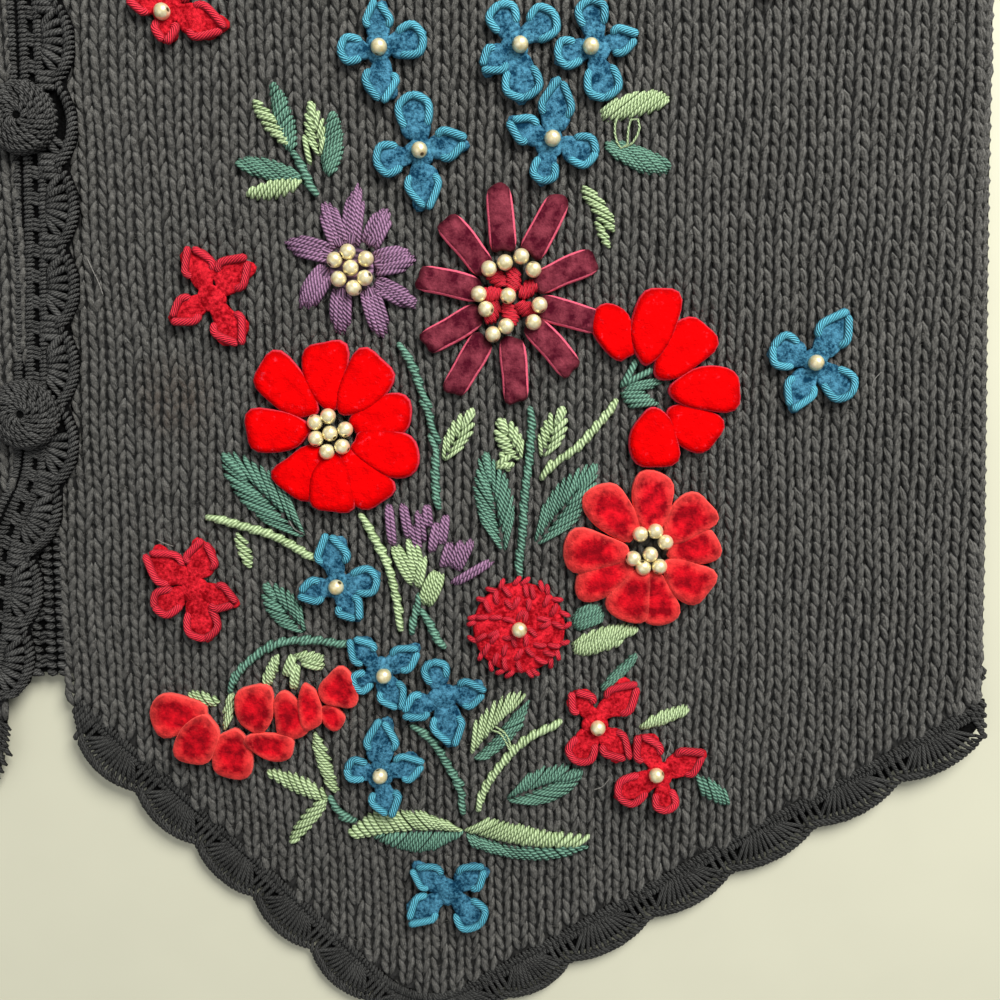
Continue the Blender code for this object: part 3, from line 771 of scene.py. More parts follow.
def straight_strand(sides, rings, end):
    """A strand of radius 1 along z from 0 to 1, drawn in at both ends, or to a point there."""
    alone()
    bpy.ops.mesh.primitive_circle_add(vertices=sides, radius=end, fill_type="NGON")
    strand = bpy.context.object
    bpy.ops.object.mode_set(mode="EDIT")
    rise = {"value": (0.0, 0.0, 1.0 / (rings - 1))}
    for ring in range(1, rings):
        bpy.ops.mesh.extrude_region_move(TRANSFORM_OT_translate=rise)
        size = 1.0 / end if ring == 1 else end if ring == rings - 1 else 1.0
        bpy.ops.transform.resize(value=(size, size, 1.0))
    bpy.ops.mesh.select_all(action="SELECT")
    if end == POINTED:
        bpy.ops.mesh.remove_doubles(threshold=3 * POINTED)
    bpy.ops.mesh.normals_make_consistent(inside=False)
    bpy.ops.object.mode_set(mode="OBJECT")
    return Unit(strand)


def pillow(segments, rings):
    """A ball of radius 1, from which petals and pads are pressed."""
    alone()
    bpy.ops.mesh.primitive_uv_sphere_add(segments=segments, ring_count=rings, radius=1.0)
    return Unit(bpy.context.object)


# Height of a bead's pushed-in poles
BEAD_POLE = 0.72


def drilled_bead():
    """A ball with its two poles pushed in where the thread goes through."""
    alone()
    bpy.ops.mesh.primitive_uv_sphere_add(segments=14, ring_count=10, radius=1.0)
    bead = bpy.context.object
    for v in bead.data.vertices:
        if abs(v.co.z) > 0.999:
            v.co.z *= BEAD_POLE
    return Unit(bead)


def joined(name, unit, places, material, lay, tint=None):
    """One mesh of a unit's copies; places are in millimetres, one row of vertices a copy."""
    count, size, corners = len(places), len(unit.co), len(unit.loops)
    mesh = bpy.data.meshes.new(name)
    mesh.vertices.add(count * size)
    mesh.vertices.foreach_set("co", to_metres(places).astype(np.float32).ravel())
    steps = np.arange(count, dtype=np.int32)[:, None]
    mesh.loops.add(count * corners)
    mesh.loops.foreach_set("vertex_index", (unit.loops + steps * size).ravel())
    mesh.polygons.add(count * len(unit.starts))
    mesh.polygons.foreach_set("loop_start", (unit.starts + steps * corners).ravel())
    layer = mesh.uv_layers.new(name="lay")
    layer.data.foreach_set("uv", lay.astype(np.float32).ravel())
    tints = mesh.attributes.new(name="tint", type="FLOAT", domain="POINT")
    shades = np.random.default_rng(7).random(count) if tint is None else np.asarray(tint)
    tints.data.foreach_set("value", np.repeat(shades, size).astype(np.float32))
    mesh.update(calc_edges=True)
    mesh.validate()
    mesh.shade_smooth()
    mesh.materials.append(material)
    piece = bpy.data.objects.new(name, mesh)
    bpy.context.collection.objects.link(piece)
    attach(piece, "root")
    return piece


def bent(unit, routes, radii, flat):
    """Copies of a straight strand bent along routes, as places and as how they lie."""
    rings = routes.shape[1]
    ring = np.rint(unit.co[:, 2] * (rings - 1)).astype(int)
    along = np.gradient(routes, axis=1)
    along /= np.linalg.norm(along, axis=2, keepdims=True) + 1e-9
    side = np.stack((-along[..., 1], along[..., 0], np.zeros_like(along[..., 0])), axis=-1)
    side /= np.linalg.norm(side, axis=2, keepdims=True) + 1e-9
    up = np.cross(along, side)
    radius = np.broadcast_to(np.reshape(radii, (len(routes), -1)), routes.shape[:2])[:, ring]
    across = (unit.co[:, 0] * radius)[..., None]
    over = (unit.co[:, 1] * radius * flat)[..., None]
    places = routes[:, ring] + side[:, ring] * across + up[:, ring] * over
    lengths = np.linalg.norm(np.diff(routes, axis=1), axis=2).sum(axis=1)
    start = np.random.default_rng(3).random(len(routes))[:, None]
    v = unit.co[unit.loops, 2] * lengths[:, None] + 3.0 * start
    u = np.broadcast_to(unit.around, v.shape)
    return places, np.stack((u, v), axis=-1)


def evenly(points, rings):
    """A route through the points, as evenly spaced rings."""
    points = np.asarray([tuple(p) for p in points], dtype=float)
    steps = np.linalg.norm(np.diff(points, axis=0), axis=1)
    marks = np.concatenate(([0.0], np.cumsum(steps)))
    wanted = np.linspace(0.0, marks[-1], rings)
    return np.stack([np.interp(wanted, marks, points[:, k]) for k in range(3)], axis=1)


class Yarn:
    """Lengths of one yarn, gathered and made into one mesh."""

    def __init__(self, sides=6, rings=7, flat=1.0, end=0.5):
        self.unit = straight_strand(sides, rings, end)
        self.rings, self.flat = rings, flat
        self.routes, self.radii = [], []

    def lay(self, points, radius):
        self.routes.append(evenly(points, self.rings))
        self.radii.append(radius)

    def make(self, name, material, slot):
        places, lay = bent(self.unit, np.array(self.routes), np.array(self.radii), self.flat)
        return joined(name, self.unit, places, material, lay)


def pressed(unit, spot, turn, half_length, half_width, height, taper=0.0, square=2.0, sink=0.12,
            puff=0.6, dip=0.0, rough=0.0):
    """A petal or pad pressed from a ball: long along turn, its lower side nearly flat."""
    x, y, z = unit.co.T
    angle = np.arctan2(y, x)
    outline = (np.abs(np.cos(angle)) ** square + np.abs(np.sin(angle)) ** square) ** (-1.0 / square)
    start = 7.0 * spot[0] + 3.0 * spot[1]
    waves = np.sin(3 * angle + start) + 0.6 * np.sin(5 * angle + 2 * start)
    outline = outline * (1 + rough * waves)
    hollow = dip * (1 - np.clip(np.hypot(x, y), 0, 1) ** 2) ** 1.5
    x, y = x * outline, y * outline
    length = half_length * y
    width = half_width * x * (1 + taper * y)
    rise = np.where(z > 0, np.abs(z) ** puff - hollow, -sink * np.abs(z)) * height
    c, s = math.cos(turn), math.sin(turn)
    across, along = spot[0] + length * c + width * s, spot[1] + length * s - width * c
    return np.stack((across, along, spot[2] + rise), axis=1)


class Pads:
    """Petals or pads of one cloth, gathered and made into one mesh."""

    def __init__(self, unit):
        self.unit, self.places, self.tints = unit, [], []
        self.square = 2.0

    def add(self, spot, turn, *sizes, tint=0.5, **form):
        self.square = form.get("square", 2.0)
        self.places.append(pressed(self.unit, spot, turn, *sizes, **form))
        self.tints.append(tint)

    def make(self, name, material, slot):
        unit, count = self.unit, len(self.places)
        out = np.hypot(unit.co[:, 0], unit.co[:, 1])
        out = np.where(unit.co[:, 2] < -0.01, 1.0, out)[unit.loops]
        turn = 2 * np.pi * unit.around
        cos, sin = np.abs(np.cos(turn)), np.abs(np.sin(turn))
        across = out * cos * (cos**self.square + sin**self.square) ** (-1.0 / self.square)
        lay = np.broadcast_to(np.stack((across, out), axis=-1), (count, len(out), 2))
        return joined(name, unit, np.array(self.places), material, lay, self.tints)

    def stand_for(self, node, cloth, look, slot):
        """Makes the pads into the piece that takes a node's place."""
        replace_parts(self.make(f"{node}_{cloth}", LOOKS[look], slot), node)


# Knitted pieces

def node_copy(name, node, material):
    """The form of a node as a new piece, its loose triangles merged."""
    alone()
    mesh = bpy.data.objects[node].data.copy()
    mesh.name = name
    piece = bpy.data.objects.new(name, mesh)
    bpy.context.collection.objects.link(piece)
    piece.select_set(True)
    bpy.context.view_layer.objects.active = piece
    bpy.ops.object.mode_set(mode="EDIT")
    bpy.ops.mesh.select_all(action="SELECT")
    bpy.ops.mesh.remove_doubles(threshold=1e-6)
    bpy.ops.object.mode_set(mode="OBJECT")
    mesh.materials.clear()
    mesh.materials.append(material)
    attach(piece, "root")
    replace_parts(piece, node)
    return piece


# What lies lower over a piece's base is its underside
UNDERSIDE_H = 0.6
# How much lower the ground's top lies than the knitting's, for the stitches to stand on
STITCH_DROP = 0.9


def lower_top(piece, side, under, drop, keep=1.0):
    """Lowers what lies above a piece's underside, to leave room for the stitches on it."""
    for v in piece.data.vertices:
        h = v.co.y / MM + MIDDLE_H
        base = float(under(side * v.co.x / MM, h))
        rise = v.co.z / MM - base
        if rise > UNDERSIDE_H:
            v.co.z = (base + rise * keep - drop) * MM


def knit_shell(node, side, under):
    piece = node_copy(f"{node}_knit", node, LOOKS["ground"])
    lower_top(piece, side, under, STITCH_DROP)
    return piece


def covers(node):
    """A test of whether a point (x, h) lies over a node, seen from above."""
    mesh = bpy.data.objects[node].data
    places = [v.co.copy() for v in mesh.vertices]
    tree = BVHTree.FromPolygons(places, [tuple(p.vertices) for p in mesh.polygons])
    down, high = Vector((0, 0, -1)), 0.1

    def over(x, h):
        return tree.ray_cast(Vector((x * MM, (h - MIDDLE_H) * MM, high)), down)[0] is not None

    return over


# How far a stitch may stand out over a panel's inner edge, and where that edge lies
EDGE_SLACK = 1.8
EDGE_X = 16.0
# Room that a stitch needs to the panel's edge, but for those low down and away from the side
EDGE_ROOM = 1.9
FREE_H = 360.0
FREE_X = 215.0
# Waves in which stitches wander: size, and lengths up and across for x, across and up for h
WANDER_X = ((0.45, 23.0, 61.0), (0.25, 7.3, 9.1))
WANDER_H = ((0.45, 17.0, 83.0), (0.2, 5.1, 37.0))


def stitch_centres(over, x_range, h_range, keep):
    """Centres of the stitches that lie on a panel, wandering a little as hand knitting does."""
    columns = np.arange(math.floor(x_range[0] / STITCH_W), math.ceil(x_range[1] / STITCH_W) + 1)
    rows = np.arange(round(h_range[0] / ROW_H), round(h_range[1] / ROW_H))
    x, h = np.meshgrid((columns + 0.5) * STITCH_W, (rows + 0.5) * ROW_H)
    x, h = x.ravel(), h.ravel()
    wander_x = sum(size * np.sin(h / up + x / along) for size, up, along in WANDER_X)
    wander_h = sum(size * np.sin(x / along + h / up) for size, along, up in WANDER_H)
    x, h = x + wander_x, h + wander_h
    slack = np.where(np.abs(x) < EDGE_X, np.copysign(EDGE_SLACK, x_range[0] + x_range[1]), 0.0)

    def fits(a, b, c):
        beside = abs(a) < FREE_X and b < FREE_H or over(a + math.copysign(EDGE_ROOM, a), b)
        below = b < FREE_H or over(a, b + EDGE_ROOM)
        return beside and below and (over(a, b) or over(a + c, b))

    kept = [bool(keep(a, b) and fits(a, b, c)) for a, b, c in zip(x, h, slack)]
    return x[kept], h[kept]


# Heights that divide the fronts' stitches into pieces
SPLIT_H = 150.0
TOP_H = 600.0
# Spans of x that the fronts' stitches are looked for in
LEFT_SPAN = (0.0, 240.0)
RIGHT_SPAN = (-240.0, 12.0)
# Under the buttonhole band: what lies nearer the centre than this and higher up has no stitches
COVERED_X = 4.0
COVERED_H = 140.0
# Width over which fine and plain stitches are mixed, and the numbers that scatter them
FINE_FADE = 45.0
SCATTER = (12.99, 78.23, 43758.5)
# One leg of a stitch from its foot to its top: share of the width, of the row, and height
LEG_FINE = ((0.09, -0.86, -0.95), (0.19, -0.3, -0.02), (0.30, 0.28, 0.0), (0.37, 0.86, -0.8))
LEG_PLAIN = ((0.08, -1.0, -0.75), (0.25, 0.0, 0.25), (0.40, 1.0, -0.65))
LEG_R = 0.87
LEG_TOP = KNIT_T - 0.62
LEG_FLAT = 0.8
# Multiple of that radius, and radius of the ends, of fine and of plain legs
FINE_LEG = (1.04, 0.55)
PLAIN_LEG = (1.38, POINTED)
# Spreads of the legs' lean, place, height and thickness
LEAN_SPREAD = 0.05
PLACE_SPREAD = 0.13
RISE_SPREAD = 0.07
THICK_SPREAD = 0.09
THICK_RANGE = (0.78, 1.22)


def stitches(name, centres, side, under, leg, sides, material, seed):
    """Raised stitches: each is two legs that spread upwards into a V."""
    x, h = centres
    rng = np.random.default_rng(seed)
    leg = np.array(leg)
    share, end = PLAIN_LEG if len(leg) == len(LEG_PLAIN) else FINE_LEG
    unit = straight_strand(sides, len(leg), end)
    routes = []
    for mirror in (-1, 1):
        lean = rng.normal(0.0, LEAN_SPREAD, (len(x), 1))
        shift = rng.normal(0.0, PLACE_SPREAD, (2, len(x), 1))
        a = x[:, None] + mirror * STITCH_W * (leg[:, 0] + lean * leg[:, 1]) + shift[0]
        b = h[:, None] + ROW_H * leg[:, 1] + shift[1]
        z = under(side * a, b) + LEG_TOP + leg[:, 2] + rng.normal(0.0, RISE_SPREAD, (len(x), 1))
        routes.append(np.stack((a, b, z), axis=-1))
    routes = np.concatenate(routes)
    radii = LEG_R * share * rng.normal(1.0, THICK_SPREAD, len(routes)).clip(*THICK_RANGE)
    places, lay = bent(unit, routes, radii, LEG_FLAT)
    piece = joined(name, unit, places, material, lay, rng.random(len(routes)))
    return piece


def fine(x, h, near_x=0.0):
    """Whether a stitch is fine: all that the photograph shows are, and ever fewer beyond it."""
    away = max(h - NEAR_H, near_x - x) / FINE_FADE
    return away < math.sin(SCATTER[0] * x + SCATTER[1] * h) * SCATTER[2] % 1.0


def knit_fronts():
    left, right = covers("left_front"), covers("right_front")
    bare = lambda x, h: x > COVERED_X or h < COVERED_H
    seen = lambda x, h: x > COVERED_X and fine(x, h)
    beyond = lambda x, h: not fine(x, h)
    near_right = lambda x, h: fine(x, h, NEAR_X)
    far_right = lambda x, h: not near_right(x, h)
    fine_ones = (
        ("left_front_stitches_1", left, 1, (0.0, SPLIT_H), bare, 1),
        ("left_front_stitches_2", left, 1, (SPLIT_H, TOP_H), seen, 2),
        ("right_front_stitches_1", right, -1, (0.0, TOP_H), near_right, 4),
    )
    plain_ones = (
        ("left_front_stitches_3", left, 1, (SPLIT_H, TOP_H), beyond, 3),
        ("right_front_stitches_2", right, -1, (0.0, NEAR_H), far_right, 5),
        ("right_front_stitches_3", right, -1, (NEAR_H, TOP_H), far_right, 6),
    )
    kinds = ((fine_ones, LEG_FINE, 4, "knit"), (plain_ones, LEG_PLAIN, 3, "far_knit"))
    for rows, leg, sides, look in kinds:
        for name, over, side, span, keep, seed in rows:
            centres = stitch_centres(over, LEFT_SPAN if side > 0 else RIGHT_SPAN, span, keep)
            under = left_under if side > 0 else right_under
            stitches(name, centres, side, under, leg, sides, LOOKS[look], seed)


# Where the column along a side edge runs, and where it is looked for
SIDE_SPAN = (88.0, 480.0)
SIDE_U = (226.0, 240.0)
SIDE_STEP = 0.2
# Its two legs: inset from the edge and lean; how much lower they lie, and their radius
SIDE_LEGS = ((0.75, 0.3), (2.2, -0.5))
SIDE_DROP = 0.1
SIDE_R = 0.82
# A leg's points: 0 at its foot or 1 at its top, distance up from its middle, and height
SIDE_POINTS = ((0, -2.3, -0.8), (0, -0.8, 0.0), (1, 0.8, 0.0), (1, 2.3, -0.8))


def side_stitches(name, node, side, under):
    """The column of stitches that follows a front's side edge."""
    over, yarn, z = covers(node), Yarn(5, 4, LEG_FLAT), LEG_TOP - SIDE_DROP
    for h in np.arange(*SIDE_SPAN, ROW_H):
        inwards = np.arange(SIDE_U[1], SIDE_U[0], -SIDE_STEP)
        u = next((u for u in inwards if over(side * u, h)), None)
        if u is None:
            continue
        for inset, lean in SIDE_LEGS:
            ends = u - inset - lean, u - inset + lean
            points = []
            for end, up, rise in SIDE_POINTS:
                a, b = ends[end], h + up
                points.append((side * a, b, float(under(a, b)) + z + rise))
            yarn.lay(points, SIDE_R)
    yarn.make(name, LOOKS["knit"], "knit")


# Where the back shows inside the neck
NECK_X = (-80.0, 80.0)
NECK_H = (380.0, 590.0)
# A purl bump: share of a stitch's width, of a row, and height
PURL_BOW = ((-0.52, -0.18, -0.75), (-0.2, 0.16, 0.1), (0.2, 0.16, 0.1), (0.52, -0.18, -0.75))


def purl_bumps():
    """The wrong side of the back's knitting, where it shows inside the neck."""
    back, left, right = covers("back_panel"), covers("left_front"), covers("right_front")
    bands = [covers(n) for n in ("left_button_band", "right_buttonhole_band")]

    def bare(x, h):
        return not any(over(x, h) for over in (left, right, *bands))

    x, h = stitch_centres(back, NECK_X, NECK_H, bare)
    bow = np.array(PURL_BOW)
    a = x[:, None] + STITCH_W * bow[:, 0]
    b = h[:, None] + ROW_H * bow[:, 1]
    z = LEG_TOP + np.broadcast_to(bow[:, 2], a.shape)
    unit = straight_strand(4, len(PURL_BOW), 0.6)
    places, lay = bent(unit, np.stack((a, b, z), axis=-1), np.full(len(x), 1.0), 0.85)
    joined("back_panel_purl", unit, places, LOOKS["knit"], lay)


# Crocheted bands and edgings

class Edging:
    """Places points of a crocheted strip by length along it, distance across and height."""

    def __init__(self, path, outward, side, base, scale=1.0):
        self.path, self.outward, self.side, self.base, self.scale = path, outward, side, base, scale

    def at(self, s, across, z):
        spot = self.path.point(s)
        p = spot + self.path.right(s) * (self.outward * across)
        base = float(self.base(spot.x, spot.y))
        return self.side * p.x, p.y, base + z * self.scale


class BandStrip(Edging):
    def __init__(self, path, side, base, scale=1.0, scalloped=True):
        super().__init__(path, -1, side, lambda u, h: base(u - BAND_HALF, h), scale)
        self.shells = round(path.length / BAND_SHELL)
        self.scalloped = scalloped
        self.root = 0.1

    def edge(self, turns):
        if not self.scalloped:
            return BAND_HALF
        return BAND_NOTCH + (BAND_HALF - BAND_NOTCH) * half_round(turns)

    def length(self, turns):
        return self.path.length * turns / self.shells


class TrimStrip(Edging):
    def __init__(self, path, marks, side, base, scale=1.0):
        super().__init__(path, 1, side, base, scale)
        self.spans = (*marks[:-1], (path.length, marks[-1][1]))
        self.shells = round(marks[-1][1])
        self.root = -5.9

    def edge(self, turns):
        return SHELL_DEPTH * half_round(turns)

    def length(self, turns):
        for (s0, n0), (s1, n1) in zip(self.spans, self.spans[1:]):
            if turns <= n1 + NEARLY:
                return s0 + (s1 - s0) * (turns - n0) / (n1 - n0)
        return self.path.length


# Strands that fill the notch between two shells: places in shells, and how far back they start
NOTCH_FILLERS = (-0.13, -0.05, 0.03, 0.11)
NOTCH_BACK = 1.6
# Room between the trebles' ends and the rope along the edge, and the steps of a treble
FAN_INSET = 1.5
FAN_STEPS = 4
# Height of a treble: at its ends, and how much more in its middle; and how much that varies
FAN_HEIGHT = (0.9, 1.1)
FAN_STRAY = 0.2


def fan_shells(yarn, strip, ribs, radius, root_spread, clear):
    """Trebles from a strip's inner row to its scalloped edge, and some between the shells."""
    rng = random.Random(11)
    for shell in range(strip.shells):
        for rib in range(ribs + len(NOTCH_FILLERS)):
            share = (rib + 0.5) / ribs
            turns = shell + min(0.02 + 0.96 * share, 1.0)
            root_turns = shell + 0.5 + (share - 0.5) * root_spread * 2
            start = strip.root
            if rib >= ribs:
                turns = root_turns = shell + NOTCH_FILLERS[rib - ribs]
                start = strip.root - NOTCH_BACK
            turns, root_turns = max(turns, 0.0), max(root_turns, 0.0)
            s, root_s = strip.length(turns), strip.length(root_turns)
            far = strip.edge(turns) - FAN_INSET
            points = []
            for step in range(FAN_STEPS + 1):
                t = step / FAN_STEPS
                along = root_s + (s - root_s) * t**0.85
                across = start + (far - start) * t
                arch = math.sin(math.pi * min(1.0, 0.2 + t * 0.75))
                bulge = FAN_HEIGHT[0] + FAN_HEIGHT[1] * arch + rng.uniform(-FAN_STRAY, FAN_STRAY)
                points.append(strip.at(along, across, bulge))
            if not any(math.dist(points[2][:2], spot) < BUTTON_CLEAR for spot in clear):
                yarn.lay(points, radius * rng.uniform(0.9, 1.1))


# A strand of the rope runs this many shells ahead; its height, and how much that varies
ROPE_AHEAD = 0.1
ROPE_TOP = 2.2
ROPE_STRAY = 0.15


def rope_edge(yarn, strip, spacing, radius):
    """Slanting strands that run as a rope along the scalloped edge."""
    total = strip.length(strip.shells)
    count, rng = int(total / spacing), random.Random(6)
    for k in range(count):
        turns = strip.shells * (k + 0.5) / count
        s, ahead = strip.length(turns), strip.length(min(turns + ROPE_AHEAD, strip.shells))
        edge, next_edge = strip.edge(turns), strip.edge(turns + ROPE_AHEAD)
        z = ROPE_TOP + rng.uniform(-ROPE_STRAY, ROPE_STRAY)
        yarn.lay((
            strip.at(s, edge - 2.7, 1.3),
            strip.at(s + (ahead - s) * 0.3, edge - 2.0, z),
            strip.at(s + (ahead - s) * 0.7, (edge + next_edge) / 2 - 1.0, z),
            strip.at(ahead, next_edge - 0.3, 0.9),
        ), radius * rng.uniform(0.9, 1.1))


# Turns of a wound cord where the photograph shows it, and beyond: spacing, slant and radius
CLOSE_TURNS = (1.05, 0.3, 0.56)
WIDE_TURNS = (2.0, 0.5, 0.95)


def wound_column(yarn, strip, across, half, z, detail):
    """A cord of short turns of yarn side by side, coarser where the photograph doesn't reach."""
    s, end, rng = 0.0, strip.length(strip.shells), random.Random(round(10 * across))
    while s < end:
        close = detail and strip.path.point(s).y < NEAR_H
        spacing, slant, radius = CLOSE_TURNS if close else WIDE_TURNS
        lift, lean = z + rng.uniform(-0.16, 0.16), slant * rng.uniform(0.2, 1.5)
        yarn.lay((
            strip.at(s - lean, across - half, lift - 0.8),
            strip.at(s - lean * 0.4, across - half * 0.5, lift + 0.35),
            strip.at(s + lean * 0.4, across + half * 0.5, lift + 0.35),
            strip.at(s + lean, across + half, lift - 0.8),
        ), radius * rng.uniform(0.85, 1.15))
        s += spacing


# A bar is three strands side by side
BAR_SHIFTS = (-0.9, 0.0, 0.9)
BAR_R = 0.56
BAR_Z = 1.3


def mesh_bars(yarn, strip, near, far, spacing):
    """Bars across the open column of a strip, leaving small holes between."""
    count = int(strip.length(strip.shells) / spacing)
    step = strip.length(strip.shells) / count
    for k in range(count):
        s = (k + 0.5) * step
        for shift in BAR_SHIFTS:
            yarn.lay((
                strip.at(s + shift, near, BAR_Z - 0.5),
                strip.at(s + shift * 1.2 + 0.3, near + (far - near) * 0.35, BAR_Z + 0.35),
                strip.at(s + shift * 1.2 - 0.3, near + (far - near) * 0.7, BAR_Z + 0.3),
                strip.at(s + shift, far, BAR_Z - 0.5),
            ), BAR_R)


def tuck_edge(piece, strip, back):
    """Draws a ground's outer side in under the shells, so that light shows through the lace."""
    steps = 12
    turns = [k / steps for k in range(steps * strip.shells + 1)]
    spots = [strip.path.point(strip.length(t)) for t in turns]
    outs = [strip.path.right(strip.length(t)) * strip.outward for t in turns]
    line = np.array([tuple(p) for p in spots])
    for v in piece.data.vertices:
        spot = Vector((strip.side * v.co.x / MM, v.co.y / MM + MIDDLE_H))
        k = int(np.argmin(np.hypot(line[:, 0] - spot.x, line[:, 1] - spot.y)))
        past = (spot - spots[k]).dot(outs[k]) - (strip.edge(turns[k]) - back)
        if past > 0:
            spot -= outs[k] * past
            v.co.x, v.co.y = strip.side * spot.x * MM, (spot.y - MIDDLE_H) * MM


# Rows past a strip's ends: row spacing, first strand's place and spacing, where shells begin
END_ROW = 1.2
END_FROM = -13.0
END_SPACING = 1.6
END_SHELLS = -8.5
# A strand of such a row: distance out, height and lean of its points, and its radius
END_STRAND = ((-1.3, 0.8, -0.4), (-0.4, 1.75, -0.1), (0.4, 1.75, 0.1), (1.3, 0.8, 0.4))
END_R = 0.7


def end_rows(yarn, strip, over):
    """Short strands wherever a strip goes on past its first or last shell."""
    for end, step in ((0.0, -1.0), (strip.path.length, 1.0)):
        for row in range(-3, 9):
            s = end + step * END_ROW * row
            for k in range(9):
                across = END_FROM + END_SPACING * k + END_SPACING / 2 * (row % 2)
                if row < 0 and across > END_SHELLS:
                    continue
                spot = strip.at(s, across, 0.0)
                if over(spot[0], spot[1]):
                    points = [strip.at(s + lean, across + out, z) for out, z, lean in END_STRAND]
                    yarn.lay(points, END_R)


# Shells of a band, a detailed edging and a plain one: trebles, radius and spread of their roots
BAND_FANS = (7, 0.92, 0.16)
DETAIL_FANS = (13, 0.6, 0.2)
PLAIN_FANS = (8, 0.84, 0.2)
# Cords wound along a band and an edging: distance across, half width and height
BAND_CORDS = ((-7.1, 1.0, 1.35), (-4.3, 1.05, 1.5), (-0.8, 1.05, 1.5))
TRIM_CORDS = ((-7.2, 1.0, 1.35),)
# Bars across the open column: near side, far side and spacing
BAND_BARS = (-4.2, -0.9, 6.1)
TRIM_BARS = (-6.4, -4.6, 3.1)
# Strands of the rope along the edge: spacing and radius
DETAIL_ROPE = (1.15, 0.55)
PLAIN_ROPE = (2.2, 0.75)
# How far back an edging's ground is drawn in, and what is kept of the grounds' height
GROUND_BACK = 3.3
GROUND_KEPT = 0.6


def crocheted(node, strip, side, under, detail, clear=(), hidden=None):
    """A crocheted strip: its ground in the node's form, near-black as painted shade in the holes
    and gaps of the lace, and its yarn where that shows.
    """
    band = isinstance(strip, BandStrip)
    ground = node_copy(f"{node}_ground", node, LOOKS["crochet_ground_painted_shade"])
    lower_top(ground, side, under, 0.0, GROUND_KEPT)
    yarn = Yarn(5, 5, 0.9) if detail else Yarn(4, 4, 0.9)
    fan_shells(yarn, strip, *(BAND_FANS if band else DETAIL_FANS if detail else PLAIN_FANS), clear)
    for cord in BAND_CORDS if band else TRIM_CORDS:
        wound_column(yarn, strip, *cord, detail)
    mesh_bars(yarn, strip, *(BAND_BARS if band else TRIM_BARS))
    rope_edge(yarn, strip, *(DETAIL_ROPE if detail else PLAIN_ROPE))
    if not band:
        end_rows(yarn, strip, covers(node))
        tuck_edge(ground, strip, GROUND_BACK)
    if hidden:
        low, high = hidden
        shown = [k for k, route in enumerate(yarn.routes) if not low < route[0][1] < high]
        yarn.routes, yarn.radii = [yarn.routes[k] for k in shown], [yarn.radii[k] for k in shown]
    # Hem trims take the darker copy of the yarn, painted shade for the dimmer light there
    yarn.make(f"{node}_yarn", LOOKS["crochet" if band else "hem_crochet_painted_shade"], "crochet")


# Heights between which the under band is covered by the other
BUTTONED = (150.0, 370.0)
# Radius round a button's middle that is kept free of trebles
BUTTON_CLEAR = 8.6


def bands_and_edgings():
    left, right = Path(smooth_points(LEFT_BAND)), Path(smooth_points(RIGHT_BAND))
    flat = lambda u, h: LAYER
    strip = BandStrip(left, 1, flat, UNDER_BAND_SCALE)
    crocheted("left_button_band", strip, 1, flat, False, hidden=BUTTONED)
    strip = BandStrip(right, -1, right_under)
    crocheted("right_buttonhole_band", strip, -1, right_under, True, BUTTONS.values())
    strip = BandStrip(back_neck_path(), 1, back_under, UNDER_BAND_SCALE, scalloped=False)
    crocheted("back_neck_band", strip, 1, back_under, False)
    strip = TrimStrip(hem_path(LEFT_TRIM_U), HEM_SHELLS, 1, left_under)
    crocheted("left_front_hem_trim", strip, 1, left_under, True)
    strip = TrimStrip(hem_path(RIGHT_TRIM_U), HEM_SHELLS, -1, left_under)
    crocheted("right_front_hem_trim", strip, -1, left_under, False)
    marks = ((0.0, 0.0), (1.0, BACK_SHELLS))
    strip = TrimStrip(back_hem_path(), marks, 1, back_under, BACK_TRIM_SCALE)
    crocheted("back_hem_trim", strip, 1, back_under, False)


# Rounds of a crocheted button: inner and outer radius, strands, inner, middle and outer height
BUTTON_ROUNDS = (
    (0.9, 3.4, 13, 3.6, 4.4, 3.9),
    (2.8, 5.0, 20, 3.9, 4.3, 3.7),
    (4.5, 6.7, 28, 3.7, 3.9, 2.9),
    (6.1, 8.2, 36, 3.0, 2.9, 1.5),
    (7.6, 8.3, 36, 2.3, 1.6, 0.4),
)
BUTTON_UNDER = 2 * LAYER + 2.6
# The ground under the strands: its share of the node's width, and how much its cap is lowered
# above a height over the button's underside
BUTTON_SHARE = 0.94
CAP_DROP = 0.6
CAP_FROM = 2.0
# How far the strands turn round the button, and how deep they lie in its cap
ROUND_TURN = 0.9
ROUND_SINK = 0.35


def crocheted_button(node, x, h, seed):
    # The near-black ground is painted shade between the button's strands
    ground = node_copy(f"{node}_ground", node, LOOKS["crochet_ground_painted_shade"])
    middle_x, middle_y = x * MM, (h - MIDDLE_H) * MM
    for v in ground.data.vertices:
        v.co.x = middle_x + (v.co.x - middle_x) * BUTTON_SHARE
        v.co.y = middle_y + (v.co.y - middle_y) * BUTTON_SHARE
        if v.co.z > (BUTTON_UNDER + CAP_FROM) * MM:
            v.co.z -= CAP_DROP * MM
    yarn, rng = Yarn(6, 5, 0.9), random.Random(seed)
    for inner, outer, count, low, middle, high in BUTTON_ROUNDS:
        rises = ((0.0, low - 0.3), (0.35, (low + middle) / 2 + 0.3), (0.7, middle), (1.0, high))
        for k in range(count):
            a = 2 * math.pi * (k + rng.uniform(-0.2, 0.2)) / count
            turn = ROUND_TURN / outer
            points = []
            for share, z in rises:
                r = inner + (outer - inner) * share
                b = a + turn * share * 2
                rise = BUTTON_UNDER + z - ROUND_SINK
                points.append((x + r * math.cos(b), h + r * math.sin(b), rise))
            yarn.lay(points, min(0.9, math.pi * (inner + outer) / 2 / count * 0.98))
    yarn.make(f"{node}_yarn", LOOKS["crochet"], "crochet")


# Applique

def pixel_spot(px, py):
    return Vector(on_cloth(px, py))


